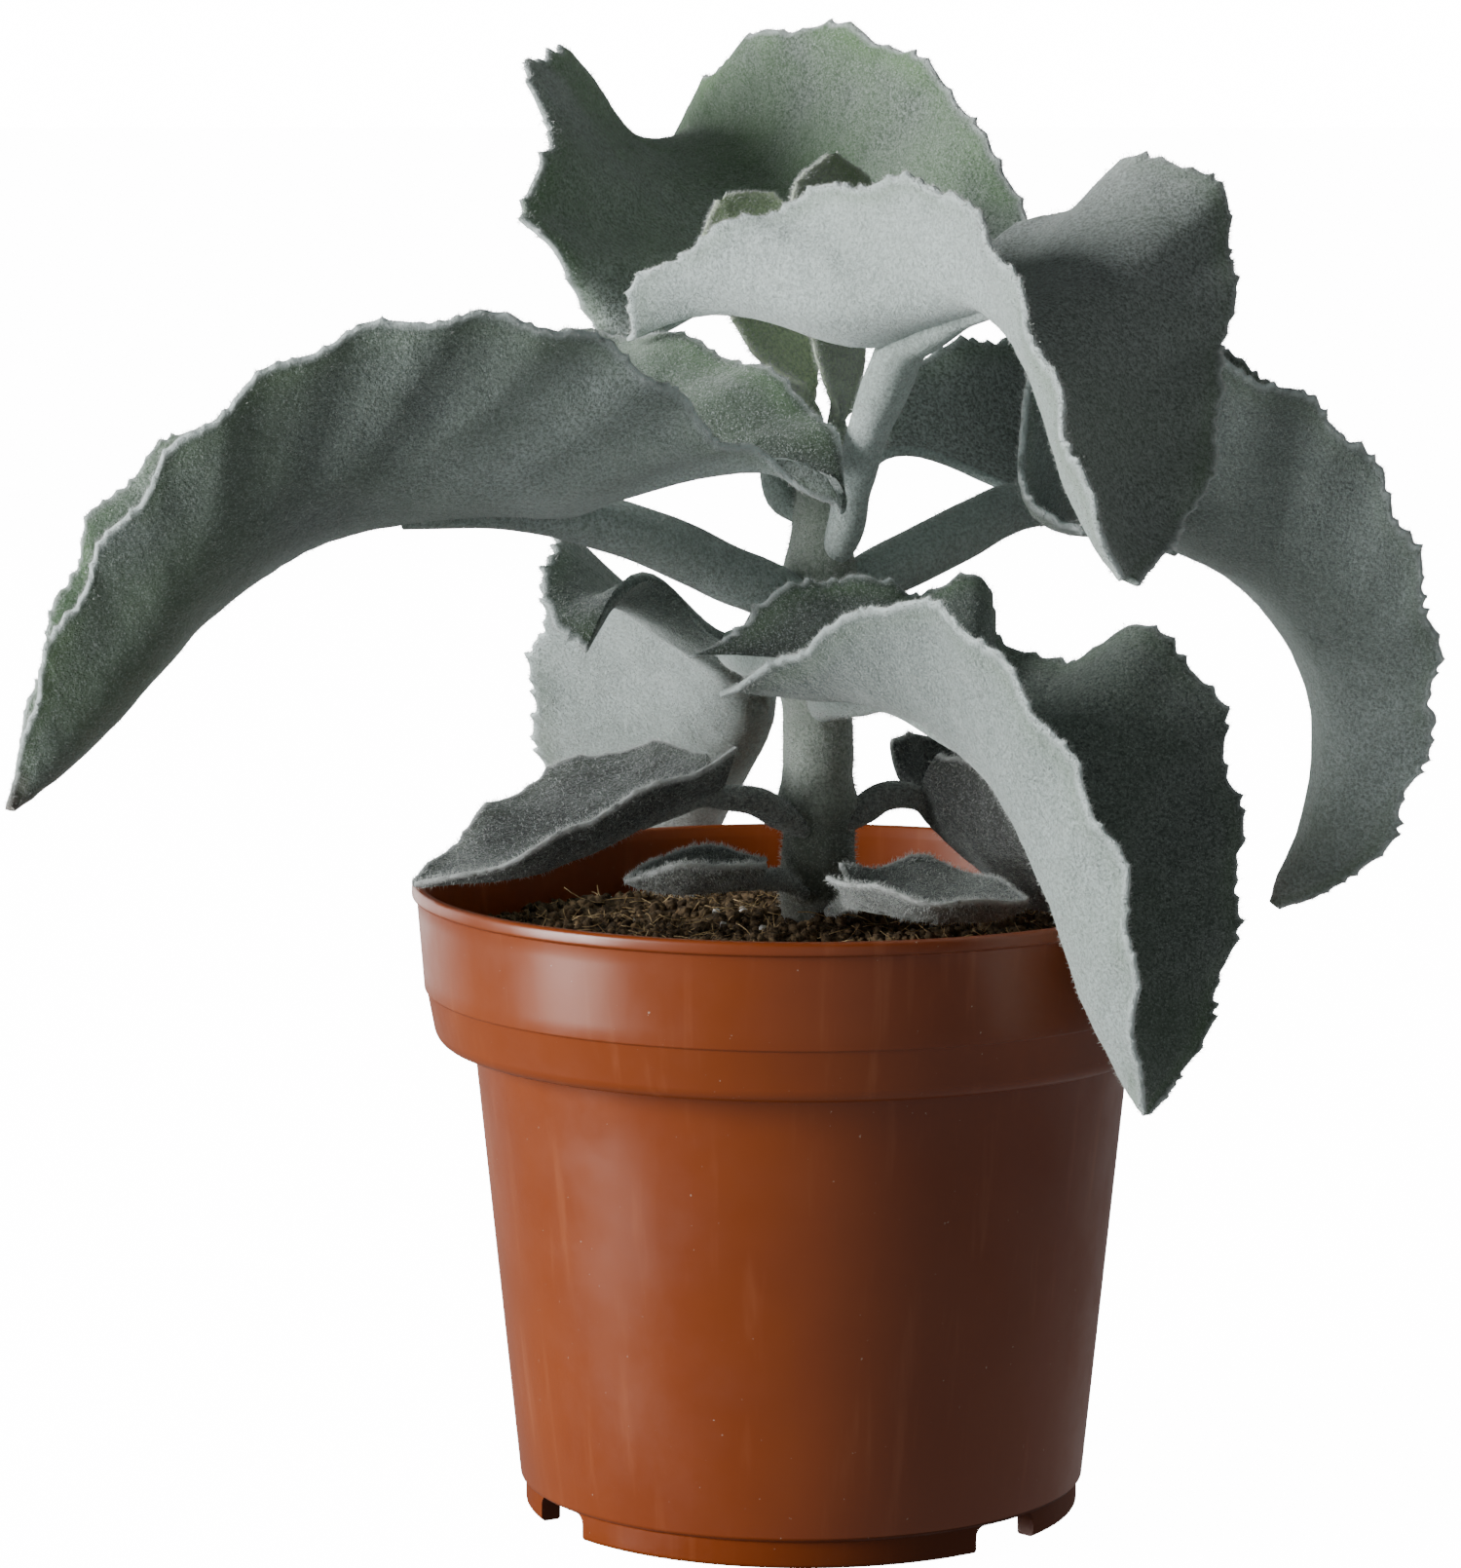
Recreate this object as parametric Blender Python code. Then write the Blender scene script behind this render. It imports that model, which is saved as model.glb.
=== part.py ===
"""Potted kalanchoe (a felt bush) in a 12 cm nursery pot.

Axes: +X right, +Y back, +Z up, with the feet standing on Z = 0. The shapes are
drawn in millimetres about the pot's own axis, then scaled to metres and hung on
an empty that puts the middle of the whole plant's footprint on the origin.
"""

import math

import bmesh
import bpy
import numpy as np
from mathutils import Matrix, Vector

MM = 0.001
GAP = 0.3                     # clearance between neighbouring pieces
POT_AXIS = (8.2, -16.9, 0.0)  # where the pot stands, off the footprint's middle

# Pot: outer profile from the foot up, then the wall.
POT_SIDES = 64
FOOT_HEIGHT = 4.6
FOOT_OUTER_RADIUS = 42.9
FOOT_WIDTH = 3.2
FOOT_GAPS_DEG = (-150.0, -44.0, 30.0, 136.0)
FOOT_GAP_WIDTH = 13.0
BASE_RADIUS = 43.7
SHOULDER_RADIUS = 50.6
SHOULDER_HEIGHT = 73.0
COLLAR_RADIUS = 56.6
COLLAR_STEP_RADIUS = 57.8
COLLAR_STEP_HEIGHT = 81.0
RIM_RADIUS = 60.0
POT_HEIGHT = 97.4
LIP_HEIGHT = 1.8
WALL = 1.3
FLOOR = 1.6
DRAIN_RADIUS = 3.6
DRAIN_CIRCLE = 30.0
DRAIN_COUNT = 6

# Soil: a low mound of peat inside the pot.
SOIL_EDGE_HEIGHT = 86.5
SOIL_CROWN_HEIGHT = 89.5
SOIL_LUMP = 0.9
SOIL_RINGS = 6
SOIL_SIDES = 40

# Stem and root crown, in the plant's own place in the pot.
STEM_X = 2.5
STEM_Y = 0.0
STEM_SIDES = 14
STEM_PATH = ((0.5, 8.0, 52.0), (0.5, 7.5, 66.0), (0.5, 7.0, 80.0), (0.3, 6.0, 90.0),
             (0.0, 3.5, 106.0), (0.0, 1.0, 122.0), (0.0, 0.0, 136.0), (0.2, 0.5, 148.0),
             (0.5, 1.0, 160.0))
STEM_RADII = (1.6, 3.6, 5.6, 5.9, 5.6, 5.4, 5.3, 5.0, 3.6)
ROOT_DEPTH = 76.0
ROOT_REACH = 24.0
ROOT_DROP = 16.0
ROOT_COUNT = 5

# Leaf blades.
BLADE_THICKNESS = 1.9
SMALL_BLADE_THICKNESS = 1.5
TIP_TAPER = 3.0               # the blade is never thicker than its width over this
KEEL_WIDTH = 0.34             # share of a rib's length that leaves the midrib sideways
WAVE_PITCH = 17.0             # along the margin, from crest to crest
WAVE_HEIGHT = 0.9
SINUS_BLEND = 0.22            # share of the blade that the sinus shape fades over
PETIOLE_SIDES = 10
STALK_ENDS = (0.06, 0.15)     # where the stalk fades into the midrib
STALK_DROP = 0.5              # how far its end runs below the midrib

# Each leaf is drawn in its own frame: out from the stem at its azimuth, sideways
# (positive to the left of someone looking out along the leaf), and up.
LEAVES = {
    "leaf_left": dict(
        azimuth=203, rows=28, columns=5, cup=3.0,
        petiole=((7, 2.3, 141.5), (16, 2.5, 145.4), (28, 2.9, 151), (39, 2.2, 154.5)),
        radii=(4.3, 4.4, 4.4, 4.0),
        midrib=((40, 1, 156), (62, 0, 156), (80, -1, 153), (97, -1, 143), (112, -1, 128),
                (127, -2, 115)),
        left=((7, 23, 156), (18, 23, 164), (26, 24, 168), (36, 28, 176), (50, 30, 184),
              (66, 28, 187), (85, 21, 184), (103, 15, 172), (116, 8, 154), (124, 4, 137),
              (128, -1, 116)),
        right=((4, 17, 156), (2, 12, 166), (7, 3, 174), (22, -15, 181), (36, -24, 180),
               (60, -27, 176), (86, -28, 170), (106, -23, 158), (117, -14, 142),
               (128, -3, 115)),
        left_sinus=(27, 17, 163), right_sinus=(18, 5, 161)),
    "leaf_right": dict(
        azimuth=17, rows=28, columns=5, cup=3.0,
        petiole=((7.2, 1, 142.8), (16, 1.6, 146.6), (25, 3, 150.4), (34, 5, 153.6)),
        radii=(4.2, 4.3, 4.3, 3.8),
        midrib=((37, 6, 155), (48, 6, 152), (60, 7, 147), (73, 7, 140), (82, 6, 129),
                (86, 6, 115), (84, 7, 101), (78, 7, 89)),
        left=((11, 11, 157), (15, 16, 173), (25, 19, 177), (43, 24, 179), (65, 30, 178),
              (85, 28, 171), (98, 24, 153), (102, 19, 130), (96, 12, 107), (86, 8, 93),
              (79, 8, 89)),
        right=((39, -17, 152), (30, -14, 155), (28, -13, 166), (29, -15, 176), (39, -20, 180),
               (57, -24, 177), (76, -21, 168), (91, -17, 148), (98, -11, 127), (97, -5, 108),
               (91, 1, 94), (79, 6, 88)),
        left_sinus=(22, 9, 161), right_sinus=(37, -5, 153)),
    "leaf_front": dict(
        azimuth=-62, rows=30, columns=5, cup=2.5,
        petiole=((7, -2, 124), (12, -3, 126.5), (18, -3, 128)),
        radii=(4.0, 3.8, 3.2),
        midrib=((19, -3, 130), (30, -2, 128), (41, 1, 123), (53, 4, 114), (61, 6, 102),
                (68, 9, 85), (73, 14, 72)),
        left=((5, -24, 133), (8, -15, 141), (12, -4, 146), (16, 7, 143), (18, 17, 145),
              (20, 21, 136), (27, 26, 132), (37, 36, 138), (44, 42, 131), (50, 43, 118),
              (56, 41, 105), (61, 35, 89), (66, 26, 77), (73, 15, 72)),
        right=((12, -24, 129), (20, -18, 134), (31, -14, 141), (42, -10, 145), (53, -7, 144),
               (63, -4, 137), (73, 1, 124), (81, 5, 109), (81, 7, 90), (74, 13, 72)),
        left_sinus=(11, -10, 134), right_sinus=(16, -13, 129)),
    "leaf_back": dict(
        azimuth=118, rows=28, columns=5, cup=3.0,
        petiole=((7, -0.5, 128), (13, 0, 129), (23, 0, 130), (29, -1, 130)),
        radii=(4.0, 3.8, 3.6, 3.0),
        midrib=((28, -1, 132), (34, -7, 127), (47, -16, 116), (58, -19, 108), (68, -20, 100),
                (78, -20, 88), (85, -17, 71)),
        left=((18, 30, 132), (24, 34, 137), (30, 32, 144), (40, 25, 149), (54, 20, 137),
              (66, 17, 123), (76, 10, 106), (84, 0, 89), (85, -10, 78), (85, -16, 71)),
        right=((30, -12, 136), (38, -16, 130), (46, -17, 129), (61, -18, 125), (76, -19, 118),
               (87, -20, 108), (96, -19, 90), (94, -17, 77), (86, -18, 71)),
        left_sinus=(24, 13, 141), right_sinus=(26, -5, 139)),
    "leaf_top_front": dict(
        azimuth=-55, rows=30, columns=5, cup=2.5,
        petiole=((7.2, 1, 155), (11, 1, 165), (16, 1, 174), (21, 1, 180)),
        radii=(3.2, 3.2, 3.4, 3.0),
        midrib=((23, 1, 182), (34, 2, 186), (44, 2, 187), (53, 2, 181), (60, 1, 172),
                (65, -1, 163), (69, 0, 155), (72, 2, 150)),
        left=((18, 30, 198), (21, 36, 202), (27, 39, 207), (33, 41, 208), (41, 45, 203),
              (46, 43, 194), (50, 40, 186), (55, 33, 177), (60, 29, 168), (66, 19, 157),
              (70, 10, 152), (73, 4, 149)),
        right=((-18, -23, 181), (-14, -25, 188), (-6, -21, 194.5), (0, -17, 198), (7.5, -9.5, 202.5),
               (20, -7, 205), (35.5, -5, 205), (49, -6, 199), (64, -8, 184), (73, -9, 171),
               (76, -7, 160), (74, 0, 150)),
        left_sinus=(21, 13, 190), right_sinus=(5, -11, 184)),
    "leaf_top_back": dict(
        azimuth=125, rows=32, columns=5, cup=3.0,
        petiole=((7, -2, 160), (10, -3, 168), (15, -4, 178), (22, -7, 186)),
        radii=(2.8, 2.8, 2.8, 2.6),
        midrib=((23, -7, 188), (36, -12, 195), (53, -15, 205), (65, -18, 208), (78, -21, 206),
                (92, -27, 197), (103, -32, 176)),
        left=((28, 22, 181), (30, 28, 192), (34, 32, 199), (38, 24, 210), (48, 22, 221),
              (56, 10, 223), (68, -4, 217), (84, -13, 210), (98, -20, 200), (107, -27, 184),
              (103, -31, 176)),
        right=((-5, -34, 188), (-2, -38, 199), (6, -37, 209), (17, -35, 220), (30, -31, 226),
               (44, -24, 227), (56, -22, 222), (70, -26, 214), (83, -32, 205), (97, -37, 188),
               (103, -33, 176)),
        left_sinus=(23, 10, 182), right_sinus=(8, -16, 182)),
    "leaf_lower_left": dict(
        azimuth=195, rows=18, columns=4, cup=1.5,
        petiole=((6.8, 1.5, 108), (10, 2, 110), (15, 3, 111)),
        radii=(2.4, 2.4, 2.0),
        midrib=((17, 4, 113), (29, 5, 108), (38, 5, 104), (47, 4, 101), (57, 3, 100),
                (64, 2, 99.5)),
        left=((15, 8, 119), (24, 10, 116), (37, 11, 111), (46, 11, 106), (55, 8, 102),
              (64, 3, 100)),
        right=((17, -4, 117), (25, -17, 117), (36, -18, 114), (46, -15, 110), (56, -8, 104),
               (64, 1, 100)),
        left_sinus=(16, 6, 116), right_sinus=(17, 0, 115)),
    "leaf_lower_right": dict(
        azimuth=12, rows=16, columns=4, cup=1.5,
        petiole=((7.6, 1, 108), (10.5, 2, 109.5), (15, 3, 109.5)),
        radii=(2.4, 2.4, 2.0),
        midrib=((17, 5, 110), (20, 5, 105), (28, 5, 97), (34, 7, 92), (40, 8, 90)),
        left=((14, 12, 117), (19, 15, 118), (27, 19, 115), (36, 21, 108), (43, 18, 98),
              (41, 9, 90)),
        right=((19, -2, 117), (23, -5, 116), (28, -9, 111), (32, -10, 105), (36, -6, 97),
               (41, 7, 90)),
        left_sinus=(15, 9, 112), right_sinus=(17, 1, 112)),
    "leaf_soil_left": dict(
        azimuth=187, rows=12, columns=3, cup=1.0,
        petiole=((6.8, 3, 98), (8, 3.6, 98), (9.6, 4.3, 98.2)),
        radii=(1.8, 1.8, 1.5),
        midrib=((10, 4.5, 98.5), (17, 7, 97.5), (24, 8, 97.5), (31, 10, 99)),
        left=((9, 8, 101), (16, 12, 102), (23, 14, 102), (31, 11, 99.5)),
        right=((8, 0, 101), (15, -3, 102), (22, -1, 102), (31, 9, 99.5)),
        left_sinus=(9.5, 6, 99), right_sinus=(9.5, 3, 99)),
    "leaf_soil_right": dict(
        azimuth=-12, rows=14, columns=3, cup=1.0,
        petiole=((6.5, -6, 95.5), (7.5, -10, 96), (9, -14, 96.5)),
        radii=(1.6, 1.6, 1.5),
        midrib=((8, -15, 97.5), (13, -16, 96), (18, -16, 95), (24, -14, 94.5), (29, -12, 94.5),
                (34, -9, 96)),
        left=((5, -10, 101), (10, -3, 100.5), (16, 2, 100.5), (24, 1, 99.5), (34, -8, 97)),
        right=((5, -19, 101), (13, -24, 100), (21, -25, 99), (28, -21, 98), (34, -10, 97)),
        left_sinus=(7, -12, 99.5), right_sinus=(7, -17, 99)),
    "young_leaf_left": dict(
        azimuth=200, rows=16, columns=3, cup=1.0,
        petiole=((-0.5, -3, 163), (-1, -4.5, 166), (-1, -6, 169)),
        radii=(1.6, 1.6, 1.4),
        midrib=((-1, -6, 169), (1, -9, 177), (5, -12, 187), (8, -15, 196), (10, -16, 201)),
        left=((1, -4, 173), (8, -7, 178), (13, -10, 187), (14, -14, 195), (11, -16, 201)),
        right=((-3, -8, 173), (-5, -13, 184), (-4, -16, 194), (1, -17, 202), (9, -17, 202)),
        left_sinus=(0, -5, 171), right_sinus=(-2, -7, 171)),
    "young_leaf_right": dict(
        azimuth=20, rows=16, columns=3, cup=1.0,
        petiole=((4, 0.5, 163), (4, 1.5, 165), (4, 3, 167)),
        radii=(1.8, 1.8, 1.5),
        midrib=((4, 3, 167), (5, 5, 176), (7, 8, 187), (7, 10, 198), (6, 11, 208)),
        left=((8, 6, 169), (12, 11, 181), (14, 14, 193), (14, 13, 203), (7, 12, 208)),
        right=((2, 0, 169), (0, 3, 181), (-1, 5, 193), (-2, 7, 203), (5, 10, 208)),
        left_sinus=(6, 4, 168), right_sinus=(3, 1, 168)),
}

COLOURS = {
    "pot": (0.25, 0.085, 0.05, 0.42),
    "soil": (0.055, 0.03, 0.018, 0.95),
    "stem": (0.32, 0.27, 0.17, 0.85),
    "leaf": (0.30, 0.36, 0.24, 0.8),
    "young": (0.38, 0.45, 0.28, 0.8),
}


def material(name, key):
    """A plain matte surface in one of the object's colours."""
    red, green, blue, roughness = COLOURS[key]
    made = bpy.data.materials.new(name)
    made.use_nodes = True
    shader = made.node_tree.nodes["Principled BSDF"]
    shader.inputs["Base Color"].default_value = (red, green, blue, 1.0)
    shader.inputs["Roughness"].default_value = roughness
    shader.inputs["Metallic"].default_value = 0.0
    return made


def add_object(name, work, key=None):
    """Turn a bmesh in millimetres into a smooth object in metres."""
    work.transform(Matrix.Scale(MM, 4))
    mesh = bpy.data.meshes.new(name)
    work.to_mesh(mesh)
    work.free()
    made = bpy.data.objects.new(name, mesh)
    made.parent = bpy.data.objects["pot_axis"]
    bpy.context.scene.collection.objects.link(made)
    mesh.shade_smooth()
    mesh.set_sharp_from_angle(angle=math.radians(40.0))
    if key:
        mesh.materials.append(material(name, key))
    return made


def as_tool(made):
    """Mark an object as a cutter or a filler of another one."""
    made.hide_render = True
    made.display_type = "WIRE"
    return made


def boolean(target, tool, operation):
    """Add a Boolean modifier with the exact solver."""
    modifier = target.modifiers.new(operation.lower() + "_" + tool.name, "BOOLEAN")
    modifier.operation = operation
    modifier.solver = "EXACT"
    modifier.object = as_tool(tool)


def smooth_curve(points, fractions):
    """Points at these fractions of a smooth curve through the given points."""
    knots = np.array(points, float)
    steps = np.linalg.norm(np.diff(knots, axis=0), axis=1)
    places = np.concatenate(([0.0], np.cumsum(steps))) / steps.sum()
    slopes = np.gradient(knots, places, axis=0)
    wanted = np.clip(np.atleast_1d(fractions), 0.0, 1.0)
    index = np.clip(np.searchsorted(places, wanted, side="right") - 1, 0, len(knots) - 2)
    width = (places[index + 1] - places[index])[:, None]
    share = (wanted[:, None] - places[index][:, None]) / width
    start, end = knots[index], knots[index + 1]
    h00 = 2 * share**3 - 3 * share**2 + 1
    h10 = share**3 - 2 * share**2 + share
    h01 = 3 * share**2 - 2 * share**3
    h11 = share**3 - share**2
    return h00 * start + h10 * width * slopes[index] + h01 * end + h11 * width * slopes[index + 1]


def unit(vectors):
    """Vectors scaled to length one."""
    lengths = np.linalg.norm(vectors, axis=-1, keepdims=True)
    return vectors / np.maximum(lengths, 1e-9)


def arc_length(points):
    """Distance run along a polyline, at each of its points."""
    steps = np.linalg.norm(np.diff(points, axis=0), axis=1)
    return np.concatenate(([0.0], np.cumsum(steps)))


def leaf_frame(azimuth):
    """Matrix that takes (out, side, up) to the object's axes."""
    angle = math.radians(azimuth)
    return np.array([[math.cos(angle), -math.sin(angle), 0.0],
                     [math.sin(angle), math.cos(angle), 0.0],
                     [0.0, 0.0, 1.0]])


def to_world(local, azimuth):
    """Leaf-frame points in the object's frame."""
    return np.asarray(local, float) @ leaf_frame(azimuth).T + np.array([STEM_X, STEM_Y, 0.0])


def blade_points(leaf):
    """Grid of blade points: one row per rib, from the left margin to the right one."""
    rows, columns = leaf["rows"], leaf["columns"]
    along = np.linspace(0.0, 1.0, rows + 1)
    midrib = smooth_curve(leaf["midrib"], along)
    left = smooth_curve(leaf["left"], along)
    right = smooth_curve(leaf["right"], along)
    tangent = unit(np.gradient(midrib, axis=0))
    lateral = unit(unit(left - midrib) - unit(right - midrib))
    upward = unit(np.cross(tangent, lateral))
    fade = np.clip(1.0 - along / SINUS_BLEND, 0.0, 1.0)[:, None] ** 2
    across = np.linspace(0.0, 1.0, columns + 1)
    sides = []
    for edge, sign, sinus in ((left, 1.0, leaf["left_sinus"]), (right, -1.0, leaf["right_sinus"])):
        rib = edge - midrib
        reach = np.linalg.norm(rib, axis=1, keepdims=True)
        near = midrib + sign * lateral * reach * KEEL_WIDTH
        far = midrib + rib * 0.62 - upward * leaf["cup"] * np.minimum(reach / 20.0, 1.0)
        through = (8 * np.array(sinus, float) - midrib[0] - 3 * near[0] - edge[0]) / 3
        far = far + fade * (through - far[0])
        run = arc_length(edge)
        calm = np.minimum(reach[:, 0] / 15.0, 1.0)
        wave = calm * WAVE_HEIGHT * np.sin(2 * math.pi * run / WAVE_PITCH + 2.0 * sign)
        strip = []
        for share in across:
            point = ((1 - share)**3 * midrib + 3 * share * (1 - share)**2 * near
                     + 3 * share**2 * (1 - share) * far + share**3 * edge)
            strip.append(point + upward * (wave * share**3)[:, None])
        sides.append(np.array(strip))
    grid = np.concatenate((sides[0][::-1], sides[1][1:]))
    return to_world(grid.transpose(1, 0, 2), leaf["azimuth"])


def blade(name, leaf, key):
    """A leaf blade: two sheets either side of the drawn surface, thinner near the tip."""
    points = blade_points(leaf)
    rows, columns = points.shape[:2]
    facing = unit(np.cross(np.gradient(points, axis=0), np.gradient(points, axis=1)))
    full = SMALL_BLADE_THICKNESS if leaf["columns"] < 5 else BLADE_THICKNESS
    width = np.linalg.norm(points[:, 0] - points[:, -1], axis=1) + 0.4
    half = 0.5 * np.minimum(full, width / TIP_TAPER)[:, None, None]
    work = bmesh.new()
    sheets = []
    for sheet in (points + facing * half, points - facing * half):
        sheets.append([[work.verts.new(spot) for spot in row] for row in sheet])
    upper, lower = sheets
    for row in range(rows - 1):
        for column in range(columns - 1):
            square = ((row, column), (row + 1, column), (row + 1, column + 1), (row, column + 1))
            work.faces.new([upper[r][c] for r, c in square])
            work.faces.new([lower[r][c] for r, c in reversed(square)])
    rim = [(row, 0) for row in range(rows)]
    rim += [(rows - 1, column) for column in range(1, columns)]
    rim += [(row, columns - 1) for row in range(rows - 2, -1, -1)]
    rim += [(0, column) for column in range(columns - 2, 0, -1)]
    for (r, c), (after_r, after_c) in zip(rim, rim[1:] + rim[:1]):
        work.faces.new((upper[after_r][after_c], upper[r][c], lower[r][c], lower[after_r][after_c]))
    return add_object(name, work, key)


def tube(name, path, radii, sides, key=None):
    """A round, tapering tube with closed ends along a path in millimetres."""
    path = np.asarray(path, float)
    tangents = unit(np.gradient(path, axis=0))
    start = Vector(tangents[0])
    turn = Vector((0.0, 0.0, 1.0)).rotation_difference(start).to_matrix()
    work = bmesh.new()
    rings = []
    for place, tangent, radius in zip(path, tangents, radii):
        turn = start.rotation_difference(Vector(tangent)).to_matrix() @ turn
        start = Vector(tangent)
        ring = []
        for step in range(sides):
            angle = 2 * math.pi * step / sides
            offset = Vector((math.cos(angle), math.sin(angle), 0.0)) * radius
            ring.append(work.verts.new(Vector(place) + turn @ offset))
        rings.append(ring)
    for low, high in zip(rings, rings[1:]):
        for step in range(sides):
            after = (step + 1) % sides
            work.faces.new((low[step], low[after], high[after], high[step]))
    work.faces.new(rings[0][::-1])
    work.faces.new(rings[-1])
    return add_object(name, work, key)


def leaf(name, shape, key):
    """A whole leaf: the blade, with its stalk run on into the underside of the midrib."""
    made = blade(name, shape, key)
    stalk = list(shape["petiole"])
    for share in STALK_ENDS:
        spot = smooth_curve(shape["midrib"], share)[0]
        stalk.append((spot[0], spot[1], spot[2] - STALK_DROP))
    radii = list(shape["radii"]) + [0.7 * shape["radii"][-1], 0.4 * shape["radii"][-1]]
    places = arc_length(np.array(stalk, float))
    fractions = np.linspace(0.0, 1.0, 9)
    path = to_world(smooth_curve(stalk, fractions), shape["azimuth"])
    widths = np.interp(fractions, places / places[-1], radii)
    boolean(made, tube(name + "_stalk", path, widths, PETIOLE_SIDES), "UNION")
    return made


def turned(name, profile, sides, key=None):
    """A solid of revolution about Z, from its underside's rim round to its inside floor."""
    work = bmesh.new()
    rings = []
    for radius, height in profile:
        ring = []
        for step in range(sides):
            angle = 2 * math.pi * step / sides
            ring.append(work.verts.new((radius * math.cos(angle), radius * math.sin(angle), height)))
        rings.append(ring)
    for low, high in zip(rings, rings[1:]):
        for step in range(sides):
            after = (step + 1) % sides
            work.faces.new((low[step], low[after], high[after], high[step]))
    work.faces.new(rings[0][::-1])
    work.faces.new(rings[-1])
    return add_object(name, work, key)


def outer_radius(height):
    """Outside of the pot's tapering body below its collar."""
    share = (height - FOOT_HEIGHT) / (SHOULDER_HEIGHT - FOOT_HEIGHT)
    return BASE_RADIUS + share * (SHOULDER_RADIUS - BASE_RADIUS)


def pot():
    """Thin-walled pot: a broken foot ring, a tapering body, a stepped collar, a rolled lip."""
    floor_top = FOOT_HEIGHT + FLOOR
    profile = (
        (FOOT_OUTER_RADIUS - FOOT_WIDTH, FOOT_HEIGHT),
        (FOOT_OUTER_RADIUS - FOOT_WIDTH, 0.0), (FOOT_OUTER_RADIUS, 0.0),
        (FOOT_OUTER_RADIUS, FOOT_HEIGHT - 0.6), (BASE_RADIUS, FOOT_HEIGHT),
        (SHOULDER_RADIUS, SHOULDER_HEIGHT),
        (COLLAR_RADIUS - 1.0, SHOULDER_HEIGHT + 0.2), (COLLAR_RADIUS, SHOULDER_HEIGHT + 1.4),
        (COLLAR_STEP_RADIUS, COLLAR_STEP_HEIGHT), (COLLAR_STEP_RADIUS + 0.3, COLLAR_STEP_HEIGHT + 0.4),
        (RIM_RADIUS - 0.6, POT_HEIGHT - LIP_HEIGHT - 0.2), (RIM_RADIUS, POT_HEIGHT - LIP_HEIGHT + 0.3),
        (RIM_RADIUS, POT_HEIGHT - 0.6), (RIM_RADIUS - 0.6, POT_HEIGHT),
        (RIM_RADIUS - WALL - 0.4, POT_HEIGHT), (RIM_RADIUS - WALL - 0.9, POT_HEIGHT - LIP_HEIGHT),
        (COLLAR_STEP_RADIUS - WALL, COLLAR_STEP_HEIGHT),
        (COLLAR_RADIUS - WALL, SHOULDER_HEIGHT + 2.4),
        (SHOULDER_RADIUS - WALL, SHOULDER_HEIGHT + WALL),
        (outer_radius(floor_top) - WALL - 1.0, floor_top + 1.0),
        (outer_radius(floor_top) - WALL - 2.2, floor_top),
    )
    made = turned("pot", profile, POT_SIDES, "pot")
    for number, angle in enumerate(FOOT_GAPS_DEG):
        turn = Matrix.Rotation(math.radians(angle), 4, "Z")
        work = bmesh.new()
        bmesh.ops.create_cube(work, size=1.0)
        size = Matrix.Diagonal((14.0, FOOT_GAP_WIDTH, 2 * FOOT_HEIGHT - 1.0, 1.0))
        place = Matrix.Translation((FOOT_OUTER_RADIUS - 2.0, 0.0, 0.0))
        work.transform(turn @ place @ size)
        boolean(made, add_object("foot_gap_%d" % number, work), "DIFFERENCE")
    for number in range(DRAIN_COUNT):
        angle = 2 * math.pi * (number + 0.5) / DRAIN_COUNT
        place = Matrix.Translation((DRAIN_CIRCLE * math.cos(angle), DRAIN_CIRCLE * math.sin(angle),
                                    FOOT_HEIGHT))
        work = bmesh.new()
        bmesh.ops.create_cone(work, cap_ends=True, segments=16, radius1=DRAIN_RADIUS,
                              radius2=DRAIN_RADIUS, depth=8.0)
        work.transform(place)
        boolean(made, add_object("drain_%d" % number, work), "DIFFERENCE")
    return made


def soil_top(x, y):
    """Height of the peat's surface."""
    reach = math.hypot(x, y)
    crown = SOIL_EDGE_HEIGHT + (SOIL_CROWN_HEIGHT - SOIL_EDGE_HEIGHT) * math.cos(min(reach / 55.0, 1.0) * 1.5)
    lumps = math.sin(x / 6.1 + 1.0) * math.cos(y / 5.3) + 0.6 * math.sin(x / 3.3 - y / 4.1)
    return crown + SOIL_LUMP * lumps * min(1.0, (56.0 - reach) / 12.0)


def soil():
    """The peat: it fills the pot up to a lumpy mound."""
    floor_height = FOOT_HEIGHT + FLOOR + GAP
    inner_low = outer_radius(floor_height) - WALL - 2.6
    inner_high = SHOULDER_RADIUS - WALL - GAP - 0.1
    edge = COLLAR_STEP_RADIUS - WALL - GAP
    levels = ((inner_low, floor_height), (inner_low + 1.6, floor_height + 2.0),
              (inner_high, SHOULDER_HEIGHT + 2.0), (COLLAR_RADIUS - WALL - 0.6, SHOULDER_HEIGHT + 3.2),
              (edge, SOIL_EDGE_HEIGHT - 2.0))
    work = bmesh.new()
    circles = []
    top = [(edge * (1.0 - ring / SOIL_RINGS), None) for ring in range(SOIL_RINGS)]
    for radius, height in levels + tuple(top):
        circle = []
        for step in range(SOIL_SIDES):
            angle = 2 * math.pi * step / SOIL_SIDES
            x, y = radius * math.cos(angle), radius * math.sin(angle)
            circle.append(work.verts.new((x, y, height or soil_top(x, y))))
        circles.append(circle)
    for low, high in zip(circles, circles[1:]):
        for step in range(SOIL_SIDES):
            after = (step + 1) % SOIL_SIDES
            work.faces.new((low[step], low[after], high[after], high[step]))
    centre = work.verts.new((0.0, 0.0, soil_top(0.0, 0.0)))
    for step in range(SOIL_SIDES):
        work.faces.new((circles[-1][step], circles[-1][(step + 1) % SOIL_SIDES], centre))
    work.faces.new(circles[0][::-1])
    return add_object("soil", work, "soil")


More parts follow.
